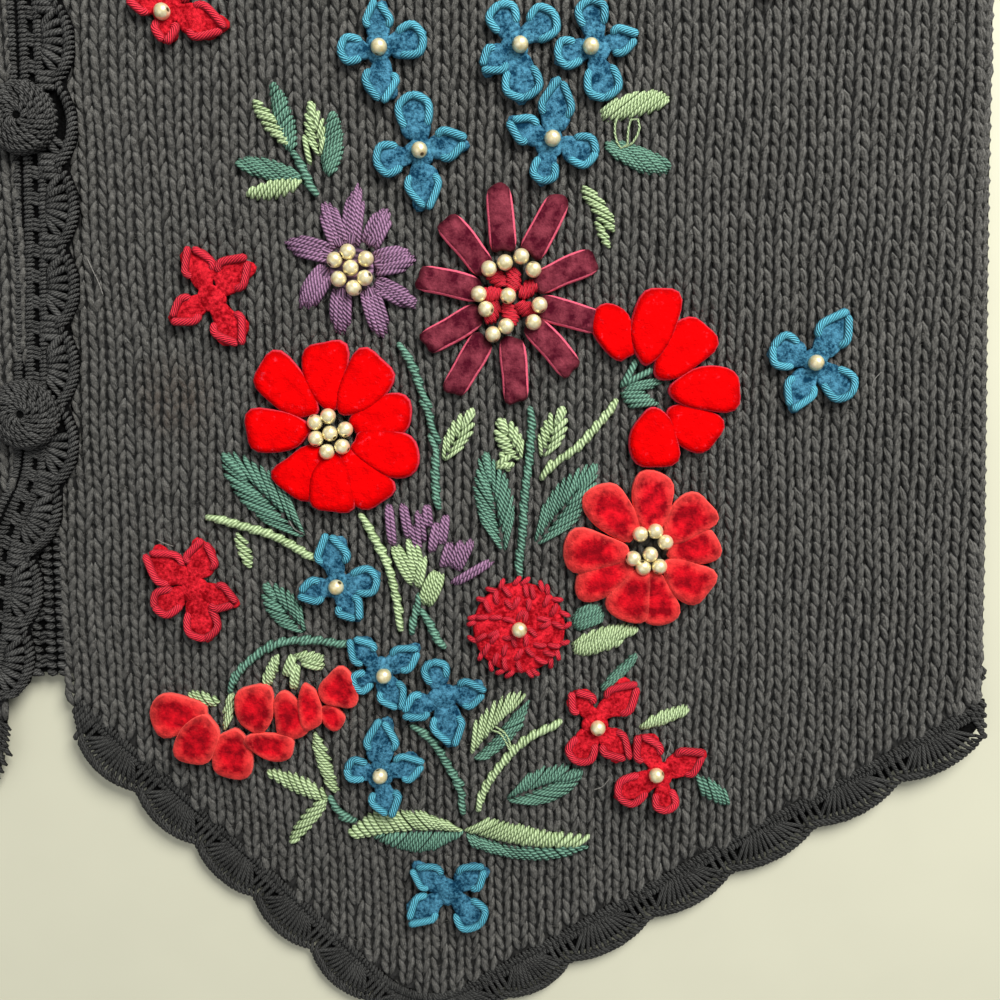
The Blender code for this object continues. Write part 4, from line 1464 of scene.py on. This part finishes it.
# A felt petal: its middle and half its length as shares of its reach, its height and its form
PETAL_MIDDLE = 0.52
PETAL_HALF = 0.44
PETAL_HEIGHT = 1.3
PETAL_FORM = {"taper": 0.2, "sink": 0.25, "puff": 0.4, "rough": 0.12}
# The pad in the flower's middle: half its length and width, and its height
HEART = (3.6, 3.3, 1.45)
CORD_R = 1.02


def felt_flower(node, row, cords):
    """A cord-edged felt blossom: soft petals, each inside a loop or a point of cord."""
    x, h, tips = row
    rng = random.Random(node)
    kind = "blue" if node.startswith("blue") else "red"
    pads = Pads(PILLOW)
    base = seat(x, h)
    for px, py, pointed in tips:
        reach_to = pixel_spot(px, py) - Vector((x, h))
        angle, reach = math.atan2(reach_to.y, reach_to.x), reach_to.length
        wide = min(3.7, reach * rng.uniform(0.25, 0.29))
        out = PETAL_MIDDLE * reach
        middle = (x + out * math.cos(angle), h + out * math.sin(angle), base)
        pads.add(middle, angle, reach * PETAL_HALF, wide * 1.02, PETAL_HEIGHT, **PETAL_FORM)
        lay_petal_cord(cords, (x, h, base), angle, reach, wide, pointed, rng)
    pads.add((x, h, base), rng.uniform(0, 3), *HEART, sink=0.2, puff=0.4, rough=0.1)
    pads.stand_for(node, "felt", f"{kind}_felt", kind)


def lay_petal_cord(cords, centre, angle, reach, wide, pointed, rng):
    """The cord round a petal: two lengths that cross at its point, or that make one loop."""
    x, h, base = centre
    c, s = math.cos(angle), math.sin(angle)

    def spot(out, across, z):
        return x + out * c - across * s, h + out * s + across * c, base + z

    tip = reach - 0.9
    sides = []
    for sign in (-1, 1):
        w = sign * wide * rng.uniform(0.92, 1.1)
        start = rng.uniform(0.36, 0.46)
        bulge = 0.66 if pointed else 0.8
        sides.append([
            (start * reach, w * 0.72, 0.5),
            ((start + bulge) / 2 * reach, w * 1.0, 1.1),
            (bulge * reach, w * (0.86 if pointed else 0.95), 1.25),
        ])
    if pointed:
        for k, points in enumerate(sides):
            end = (tip + (0.7 if k else 0.0), (0.45 if k else -0.35), 1.2 + 0.5 * k)
            route = smooth_points([spot(*p) for p in (*points, end)], 6)
            cords.lay(route, CORD_R * rng.uniform(0.92, 1.08))
    else:
        loop = [*sides[0], (tip, 0.0, 1.3), *reversed(sides[1])]
        half = smooth_points([spot(*p) for p in loop], 6)
        cut = len(half) // 2 + 2
        cords.lay(half[:cut], CORD_R)
        cords.lay(half[cut - 3:], CORD_R)


# A velvet petal: its height, its form, and how near the flower's middle an open one starts
VELVET_HEIGHT = 2.5
VELVET_FORM = {"taper": 0.26, "square": 2.7, "puff": 0.45, "dip": 0.25, "rough": 0.05}
OPEN_ROOT = 0.24


def velvet_petal(pads, root, tip, half_width, rise, **form):
    a, b = pixel_spot(*root), pixel_spot(*tip)
    spot, axis = (a + b) / 2, b - a
    place, turn = (*spot, seat(*spot) + rise), math.atan2(axis.y, axis.x)
    sizes = axis.length / 2, half_width * PX, VELVET_HEIGHT
    pads.add(place, turn, *sizes, **{**VELVET_FORM, **form})


def open_poppy(node, look):
    """Velvet petals that overlap round a dark middle."""
    (cx, cy), petals = POPPY_PETALS[node]
    pads = Pads(PILLOW)
    for number, (px, py, half) in enumerate(petals):
        root = (cx + (px - cx) * OPEN_ROOT, cy + (py - cy) * OPEN_ROOT)
        velvet_petal(pads, root, (px, py), half, 0.35 * (number % 2), taper=0.34)
    pads.stand_for(node, "velvet", look, "poppy_red")


def half_poppy(node, look, dip):
    """A poppy seen from the side, or part of the hanging garland."""
    pads = Pads(PILLOW)
    for number, (ax, ay, bx, by, half) in enumerate(HALF_OPEN[node]):
        velvet_petal(pads, (ax, ay), (bx, by), half, 0.5 * (number % 2), dip=dip, square=2.4)
    pads.stand_for(node, "velvet", look, "poppy_red")


RIBBON_HEIGHT = 1.6
# Clumps of stitches in the ribbon flower: length, width, stitches and their radius
CLUMPS = 7
CLUMP = (5.0, 4.4, 5, 0.66)


def ribbon_flower(stitching):
    """Straight lengths of velvet ribbon round clumps of crimson stitches."""
    pads = Pads(PILLOW)
    x, h = on_cloth(*RIBBON_MIDDLE)
    base = seat(x, h)
    form = {"square": 5.0, "puff": 0.35, "rough": 0.04}
    for number, (px, py) in enumerate(RIBBON_PETALS):
        spot = pixel_spot(px, py)
        place, turn = (*spot, base + 0.3 * (number % 2)), math.atan2(spot.y - h, spot.x - x)
        pads.add(place, turn, *RIBBON_HALF, RIBBON_HEIGHT, **form)
    pads.stand_for("ribbon_flower", "velvet", "burgundy_velvet", "burgundy")
    for k in range(CLUMPS):
        a = math.radians(51 * k + 20)
        out = 4.2 if k % 2 else 5.4
        satin(stitching, (x + out * math.cos(a), h + out * math.sin(a)), a, *CLUMP, base + 0.5)


# Satin stitches: slant against their clump's axis; share of the half width, and height
SATIN_SLANT = 0.5
SATIN_STITCH = ((-1.0, -0.5), (-0.5, 0.35), (0.0, 0.5), (0.5, 0.35), (1.0, -0.5))


def satin(yarn, middle, turn, length, width, count, radius, z):
    """Satin stitches side by side, filling a clump pointed at both ends."""
    c, s = math.cos(turn), math.sin(turn)
    rng = random.Random(round(middle[0] * 10 + middle[1]))
    for k in range(count):
        share = (k + 0.5) / count * 2 - 1
        half = width / 2 * max(0.25, 1 - share * share) ** 0.5 * rng.uniform(0.92, 1.08)
        out = share * length / 2
        points = []
        for across, rise in SATIN_STITCH:
            a, b = out + across * half * SATIN_SLANT, across * half
            points.append((middle[0] + a * c - b * s, middle[1] + a * s + b * c, z + rise))
        yarn.lay(points, radius)


# A daisy petal's pad: middle, half length and half width as shares of the petal's, and height
DAISY_PAD = (0.4, 0.45, 0.75, 0.8)
# Its strokes: the pixels of width that each takes up, radius and lift
DAISY_STROKE = (4.4, 0.7, 1.0)
# The pad in its middle: half its length and width, and its height
DAISY_HEART = (5.4, 5.4, 0.9)


def daisy(sewing):
    """A stitched daisy: each petal is a few long twisted strokes that narrow to its tip."""
    x, h = on_cloth(*DAISY_MIDDLE)
    pads, rng = Pads(PILLOW), random.Random(9)
    at, long, wide, high = DAISY_PAD
    room, radius, lift = DAISY_STROKE
    for ax, ay, bx, by, width in DAISY_PETALS:
        root, tip = pixel_spot(ax, ay), pixel_spot(bx, by)
        axis = tip - root
        across = Vector((-axis.y, axis.x)).normalized()
        strokes = round(width / room)
        half = width * PX / 2
        middle, turn = root + axis * at, math.atan2(axis.y, axis.x)
        pads.add((*middle, seat(*middle)), turn, axis.length * long, half * wide, high, puff=0.5)
        for k in range(strokes):
            off = (k + 0.5) / strokes * 2 - 1
            foot = root - axis * 0.08 + across * off * half * 0.72
            reach = 1.02 - 0.34 * off**2 - rng.uniform(0, 0.08)
            end = root + axis * reach + across * off * half * 0.8
            sewing.stitch(foot, end, radius * rng.uniform(0.94, 1.06), lift, bow=off * 0.35)
    pads.add((x, h, seat(x, h)), 0.0, *DAISY_HEART, puff=0.5)
    pads.stand_for("daisy", "ground", "violet_thread", "violet")


# Rounds of the rosette: radius and stitches; the outermost are shorter and lie lower
ROSETTE_ROUNDS = ((3.4, 7), (6.6, 12), (9.8, 17), (12.0, 22))
ROSETTE_RIM = 11.0
ROSETTE_STITCH = ((-1.0, 1.0), (-0.3, 1.7), (0.3, 1.7), (1.0, 1.0))
ROSETTE_R = 0.72


def rosette(threads):
    """A domed rosette of short stitches that turn this way and that."""
    x, h, radius = ROSETTE
    base, rng = seat(x, h), random.Random(4)
    pads = Pads(PILLOW)
    pads.add((x, h, base), 0.0, radius * 0.93, radius * 0.93, 1.7, puff=0.35)
    pads.stand_for("rosette", "ground", "red_felt", "red")
    for ring, count in ROSETTE_ROUNDS:
        shorter, lower = (0.7, 0.6) if ring > ROSETTE_RIM else (1.0, 0.0)
        for k in range(count):
            a = 2 * math.pi * (k + rng.uniform(-0.4, 0.4)) / count
            turn = rng.choice((-1.0, 0.6, 1.0))
            points = []
            for share, rise in ROSETTE_STITCH:
                r, b = ring + share * 1.6 * shorter, a + share * turn / ring
                points.append((x + r * math.cos(b), h + r * math.sin(b), base + rise - lower))
            threads.lay(points, ROSETTE_R)


# Height of the beads' middles over their flowers' seats
BEAD_LIFT = {
    "blue": 1.9, "red": 1.9, "poppy_1": 2.1, "poppy_2": 2.1, "daisy": 2.0, "ribbon": 2.3,
    "rosette": 2.6,
}


def beads():
    """Gold beads, each tipped its own way on its thread."""
    unit, rng = drilled_bead(), random.Random(2)
    places = []
    for flower, spots in BEADS.items():
        for px, py in spots:
            x, h = on_cloth(px, py)
            tip = Euler((rng.uniform(0.9, 1.5), 0.0, rng.uniform(0, 6.3))).to_matrix()
            turned = unit.co @ np.array(tip).T
            places.append(turned * BEAD_R + (x, h, seat(x, h) + BEAD_LIFT[flower]))
    out = np.hypot(unit.co[:, 0], unit.co[:, 1])[unit.loops]
    lay = np.broadcast_to(np.stack((unit.around, out), axis=-1), (len(places), len(out), 2))
    joined("gold_beads", unit, np.array(places), LOOKS["bead"], lay)


# Embroidery

# A stitch's points: share of its length, and height; those above RAISED take the stitch's own lift
STITCH = ((0.0, -0.7), (0.13, 0.1), (0.35, 0.9), (0.65, 0.9), (0.87, 0.1), (1.0, -0.7))
RAISED = 0.5
# Radius of a thread, least and most, and as a share of the gap that it fills
THREAD_R = (0.52, 0.98)
THREAD_SHARE = 0.56
# Lift of a leaf's stitches, and their stray sideways
LEAF_LIFT = 0.45
STRAY = 0.15
# A stem's stitches: length before the next starts, length as a multiple of that, and radius
STEM_STEP = 3.1
STEM_REACH = 1.75
STEM_R = 0.84
STEM_LIFT = 0.5
# A thick stroke's threads: the pixels of width that each takes up, and radius
STROKE_PX = 5
STROKE_R = 0.72


class Sewing(Yarn):
    """Embroidery stitches of one thread on the wearer's left front."""

    def __init__(self, seed):
        super().__init__(7, 8)
        self.rng = random.Random(seed)

    def stitch(self, a, b, radius, lift=LEAF_LIFT, bow=0.0):
        """One stitch from a to b, which dives into the knitting at both ends."""
        run = b - a
        across = Vector((-run.y, run.x)).normalized()
        route = []
        for share, rise in STITCH:
            spot = a + run * share + across * (bow * math.sin(math.pi * share))
            z = float(left_under(spot.x, spot.y)) + KNIT_T + (lift if rise > RAISED else rise)
            route.append((spot.x, spot.y, z))
        self.lay(smooth_points(route, 3), radius)

    def thickness(self, gap):
        return min(THREAD_R[1], max(THREAD_R[0], gap * THREAD_SHARE)) * self.rng.uniform(0.94, 1.06)

    def row(self, feet, ends):
        """Stitches side by side, each as thick as the room between it and the next."""
        for k, (foot, end) in enumerate(zip(feet, ends)):
            other = k + 1 if k + 1 < len(feet) else k - 1
            shift = (feet[other] + ends[other] - foot - end) / 2
            run = (end - foot).normalized()
            gap = abs(run.x * shift.y - run.y * shift.x)
            stray = Vector((self.rng.uniform(-STRAY, STRAY), self.rng.uniform(-STRAY, STRAY)))
            radius, lift = self.thickness(gap), LEAF_LIFT + self.rng.uniform(-0.06, 0.1)
            self.stitch(foot + stray, end + stray, radius, lift)

    def filled(self, ax, ay, bx, by, width, count, lean):
        """A leaf filled with slanting stitches."""
        base, tip = pixel_spot(ax, ay), pixel_spot(bx, by)
        axis = tip - base
        run = Vector((math.cos(math.radians(lean)), math.sin(math.radians(lean))))
        side = abs(run.cross(axis.normalized()))
        feet, ends = [], []
        for k in range(count):
            share = (k + 0.5) / count
            half = width * PX / 2 * math.sin(math.pi * share**0.8) ** 0.6
            reach = min(half / max(side, 0.3), width * PX * 0.9)
            feet.append(base + axis * share - run * reach)
            ends.append(base + axis * share + run * reach)
        self.row(feet, ends)

    def veined(self, ax, ay, bx, by, width, pairs):
        """A leaf of stitches that leave its vein and lean towards its tip."""
        base, tip = pixel_spot(ax, ay), pixel_spot(bx, by)
        axis = tip - base
        across = Vector((-axis.y, axis.x)).normalized() * (width * PX / 2)
        for side in (-1, 1):
            feet, ends = [], []
            for k in range(pairs):
                share = 0.02 + 0.72 * k / pairs
                far = min(share + 0.36, 0.985)
                feet.append(base + axis * share + across * side * 0.06)
                ends.append(base + axis * far + across * side * math.sin(math.pi * far**1.1) ** 0.6)
            self.row(feet, ends)
        self.stitch(base + axis * 0.68, tip, self.thickness(1.5))

    def rank(self, keys, count):
        """Stitches side by side, spread between the given ones."""
        keys = [(pixel_spot(*key[:2]), pixel_spot(*key[2:])) for key in keys]
        feet, ends = [], []
        for k in range(count):
            place = k / (count - 1) * (len(keys) - 1)
            i = min(int(place), len(keys) - 2)
            feet.append(keys[i][0].lerp(keys[i + 1][0], place - i))
            ends.append(keys[i][1].lerp(keys[i + 1][1], place - i))
        self.row(feet, ends)

    def stem(self, pixels):
        """Overlapping stitches, each crossing a little over the one before."""
        path = Path(smooth_points([pixel_spot(*p) for p in pixels]))
        count = max(2, round(path.length / STEM_STEP))
        for k in range(count):
            s = path.length * k / count
            a = path.point(max(s - 0.8, 0.0))
            b = path.point(min(s + STEM_STEP * STEM_REACH, path.length))
            off = path.right(s) * 0.6
            self.stitch(a + off, b - off, STEM_R * self.rng.uniform(0.94, 1.06), STEM_LIFT)

    def stroke(self, ax, ay, bx, by, width):
        """A thick stitch of threads that part in the middle and meet at both ends."""
        a, b = pixel_spot(ax, ay), pixel_spot(bx, by)
        count = max(1, round(width / STROKE_PX))
        across = Vector((a.y - b.y, b.x - a.x)).normalized()
        for k in range(count):
            off = k - (count - 1) / 2
            shift = across * (off * 0.75) + (b - a) * self.rng.uniform(-0.05, 0.05)
            self.stitch(a + shift, b + shift, STROKE_R, STEM_LIFT, bow=off * 0.45)


def leaves_and_stems():
    light, dark = Sewing(1), Sewing(2)
    for sewing, filled, veined, ranks, stems in (
        (light, LIGHT_FILLED, LIGHT_VEINED, LIGHT_RANKS, LIGHT_STEMS),
        (dark, DARK_FILLED, DARK_VEINED, DARK_RANKS, DARK_STEMS),
    ):
        for row in filled.values():
            sewing.filled(*row)
        for row in veined.values():
            sewing.veined(*row)
        for row in ranks.values():
            sewing.rank(*row)
        for row in stems.values():
            sewing.stem(row)
    for row in LIGHT_STROKES:
        light.stroke(*row)
    light.make("light_leaves", LOOKS["light_green"], "leaf_green")
    dark.make("dark_leaves", LOOKS["dark_green"], "leaf_green")


LOOSE_LIFT = 0.45


def loose_threads():
    """Thin lengths that lie on the knitting: ends of leaf thread, and stray hairs."""
    for name, rows, radius, look, slot in (
        ("loose_ends", LOOSE_ENDS, 0.3, "light_green", "leaf_green"),
        ("hairs", HAIRS, 0.11, "hair", "knit"),
    ):
        yarn = Yarn(5, 14, end=0.7)
        for row in rows:
            route = []
            for spot in smooth_points([pixel_spot(*p) for p in row]):
                route.append((*spot, float(left_under(*spot)) + KNIT_T + LOOSE_LIFT + radius))
            yarn.lay(route, radius)
        yarn.make(name, LOOKS[look], slot)


# Loose fibres: how many are tried, where, and the heights between which they thin out
FIBRES = 11000
FIBRE_AREA = ((6.0, 232.0), (12.0, 320.0))
FIBRE_FADE = (255.0, 320.0)
# A fibre's points: share of its length, and height; and its radius
FIBRE = ((0.0, -0.45), (0.5, 0.4), (1.0, 0.05))
FIBRE_R = 0.09


def fibre_halo():
    """Fine bent fibres that stand off the knitting of the front."""
    over, rng = covers("left_front"), random.Random(8)
    yarn = Yarn(3, 3, end=POINTED)
    for _ in range(FIBRES):
        spot = Vector((rng.uniform(*FIBRE_AREA[0]), rng.uniform(*FIBRE_AREA[1])))
        if not over(*spot) or rng.random() < ramp(spot.y, *FIBRE_FADE):
            continue
        turn, length, bend = rng.gauss(1.57, 0.9), rng.uniform(1.2, 3.4), rng.uniform(-0.8, 0.8)
        route = []
        for share, rise in FIBRE:
            a = turn + bend * share
            p = spot + Vector((math.cos(a), math.sin(a))) * (length * share)
            route.append((*p, float(left_under(*p)) + KNIT_T + rise))
        yarn.lay(route, FIBRE_R)
    yarn.make("left_front_fibres", LOOKS["fibre"], "knit")


# Setting, in metres

FLOOR_SIZE = 4.0
FLOOR_Z = -0.0003
# Lights: place over the photograph's middle, aim from there, size, power and colour
WINDOW = ((0.36, 0.6, 0.6), (0.0, 0.05, 0.0), 0.5, 14.2, (1.0, 0.99, 0.96))
FILL = ((-0.5, -0.3, 1.0), (0.0, 0.0, 0.0), 1.2, 2.0, (0.97, 0.98, 1.0))
SKY = (0.95, 0.97, 1.0, 1.0)
SKY_STRENGTH = 0.36
CLIP_START = 0.01


def floor():
    alone()
    bpy.ops.mesh.primitive_plane_add(size=FLOOR_SIZE, location=(0.0, 0.0, FLOOR_Z))
    ground = bpy.context.object
    ground.name = "floor"
    ground.data.materials.append(pale_floor())


def area_light(name, spot, aim, size, power, colour):
    data = bpy.data.lights.new(name, "AREA")
    data.shape = "DISK"
    data.size, data.energy, data.color = size, power, colour
    light = bpy.data.objects.new(name, data)
    middle = to_metres((CENTRE_X, CENTRE_H, 0.0))
    light.location = middle + spot
    beam = Vector(middle + aim) - Vector(middle + spot)
    light.rotation_euler = beam.to_track_quat("-Z", "Y").to_euler()
    bpy.context.collection.objects.link(light)


def lights():
    area_light("window", *WINDOW)
    area_light("fill", *FILL)
    world = bpy.data.worlds.new("studio")
    world.use_nodes = True
    world.node_tree.nodes["Background"].inputs[0].default_value = SKY
    world.node_tree.nodes["Background"].inputs[1].default_value = SKY_STRENGTH
    bpy.context.scene.world = world
    bpy.context.scene.view_settings.view_transform = "Standard"


def camera():
    data = bpy.data.cameras.new("camera")
    data.lens, data.sensor_width = LENS_MM, SENSOR_MM
    data.clip_start = CLIP_START
    eye = bpy.data.objects.new("camera", data)
    h, z = CENTRE_H + DISTANCE * math.sin(TILT), CLOTH_Z + DISTANCE * math.cos(TILT)
    eye.location = to_metres((CENTRE_X, h, z))
    eye.rotation_euler = (-TILT, 0.0, 0.0)
    bpy.context.collection.objects.link(eye)
    bpy.context.scene.camera = eye


STAIN_SPOT = tuple(to_metres((*on_cloth(*STAIN), CLOTH_Z)))
# Cabled yarn of the crochet: sheen, plies, their pitch and depth, and how dark the painted shade on
# a strand's sides is
CABLED = (0.1, 5, 0.85, 0.4, 0.12)
LOOKS = {
    "knit": wool("charcoal_knit", (0.0075, 0.007, 0.006), (0.185, 0.178, 0.16), stain=STAIN_SPOT),
    # A lighter copy of the knit for the plain stitches: painted light, making up for the deeper
    # shade between them
    "far_knit": wool("charcoal_knit_far_painted_lighter", (0.016, 0.0155, 0.014), (0.305, 0.296, 0.27)),
    # Near-black ground: painted shade in the gaps between the raised stitches
    "ground": knitted_ground("knit_ground_painted_shade", (0.006, 0.006, 0.0055), (0.03, 0.029, 0.027)),
    "crochet": wool("crochet_yarn", (0.002, 0.002, 0.002), (0.175, 0.173, 0.164), *CABLED, 0.3),
    # A darker copy of the crochet yarn for the hem trims: painted shade for the dimmer light at the
    # hem
    "hem_crochet_painted_shade": wool("hem_yarn_painted_shade", (0.002, 0.002, 0.002), (0.1, 0.1, 0.094), *CABLED, 0.25),
    # Near-black ground under the crochet: painted shade in its holes and gaps
    "crochet_ground_painted_shade": felt("crochet_ground_painted_shade", (0.0008, 0.0008, 0.0008), (0.004, 0.004, 0.004)),
    "fibre": thread("loose_fibre", (0.08, 0.077, 0.068), (0.26, 0.25, 0.22)),
    "hair": thread("stray_hair", (0.3, 0.29, 0.26), (0.5, 0.48, 0.44)),
    "blue_felt": felt("blue_felt", (0.003, 0.03, 0.065), (0.08, 0.27, 0.40)),
    "red_felt": felt("red_felt", (0.22, 0.001, 0.004), (0.78, 0.02, 0.035)),
    "blue_cord": thread("blue_cord", (0.002, 0.04, 0.075), (0.13, 0.53, 0.68), 9, 0.9),
    "red_cord": thread("red_cord", (0.15, 0.001, 0.005), (0.9, 0.03, 0.06), 9, 0.9),
    "bright_velvet": velvet(
        "bright_velvet", (0.6, 0.0002, 0.0008), (0.86, 0.0004, 0.001), (0.74, 0.05, 0.08),
        0.965, 0.5,
    ),
    "dark_velvet": velvet(
        "dark_velvet", (0.2, 0.002, 0.006), (0.72, 0.007, 0.016), (0.84, 0.085, 0.07), 0.95, 0.35,
        sheen=0.15, painted_sheen=0.55, shade=0.8,
    ),
    "burgundy_velvet": velvet(
        "burgundy_velvet", (0.06, 0.004, 0.012), (0.24, 0.04, 0.06), (0.66, 0.1, 0.16), 0.84, 0.2,
        sheen=0.1, ribbon=True,
    ),
    "violet_thread": thread("violet_thread", (0.012, 0.004, 0.014), (0.38, 0.2, 0.34), 3, 1.0),
    "light_green": thread("light_green_thread", (0.1, 0.16, 0.05), (0.57, 0.72, 0.4), 3, 1.0),
    "dark_green": thread("dark_green_thread", (0.006, 0.022, 0.016), (0.17, 0.36, 0.26), 3, 1.0),
    "bead": bead_metal(),
}
PILLOW = pillow(26, 14)

camera()
lights()
floor()
knit_shell("back_panel", 1, back_under)
knit_shell("left_front", 1, left_under)
knit_shell("right_front", -1, right_under)
knit_fronts()
side_stitches("left_front_side_stitches", "left_front", 1, left_under)
side_stitches("right_front_side_stitches", "right_front", -1, left_under)
purl_bumps()
bands_and_edgings()
for number, (node, (x, h)) in enumerate(BUTTONS.items()):
    crocheted_button(node, x, h, number)
blue_cords, red_cords = Yarn(8, 12, 0.85), Yarn(8, 12, 0.85)
violet, crimson = Sewing(3), Yarn(6, 6)
for node, row in BLOSSOMS.items():
    felt_flower(node, row, blue_cords if node.startswith("blue") else red_cords)
open_poppy("poppy_1", "bright_velvet")
open_poppy("poppy_2", "dark_velvet")
half_poppy("side_poppy_1", "bright_velvet", 0.2)
half_poppy("side_poppy_2", "dark_velvet", 0.35)
half_poppy("side_poppy_3", "dark_velvet", 0.45)
ribbon_flower(crimson)
daisy(violet)
rosette(crimson)
for row in VIOLET_STROKES:
    violet.stroke(*row)
blue_cords.make("blue_cords", LOOKS["blue_cord"], "blue")
red_cords.make("red_cords", LOOKS["red_cord"], "red")
violet.make("violet_stitches", LOOKS["violet_thread"], "violet")
crimson.make("crimson_stitches", LOOKS["red_cord"], "red")
leaves_and_stems()
loose_threads()
fibre_halo()
beads()
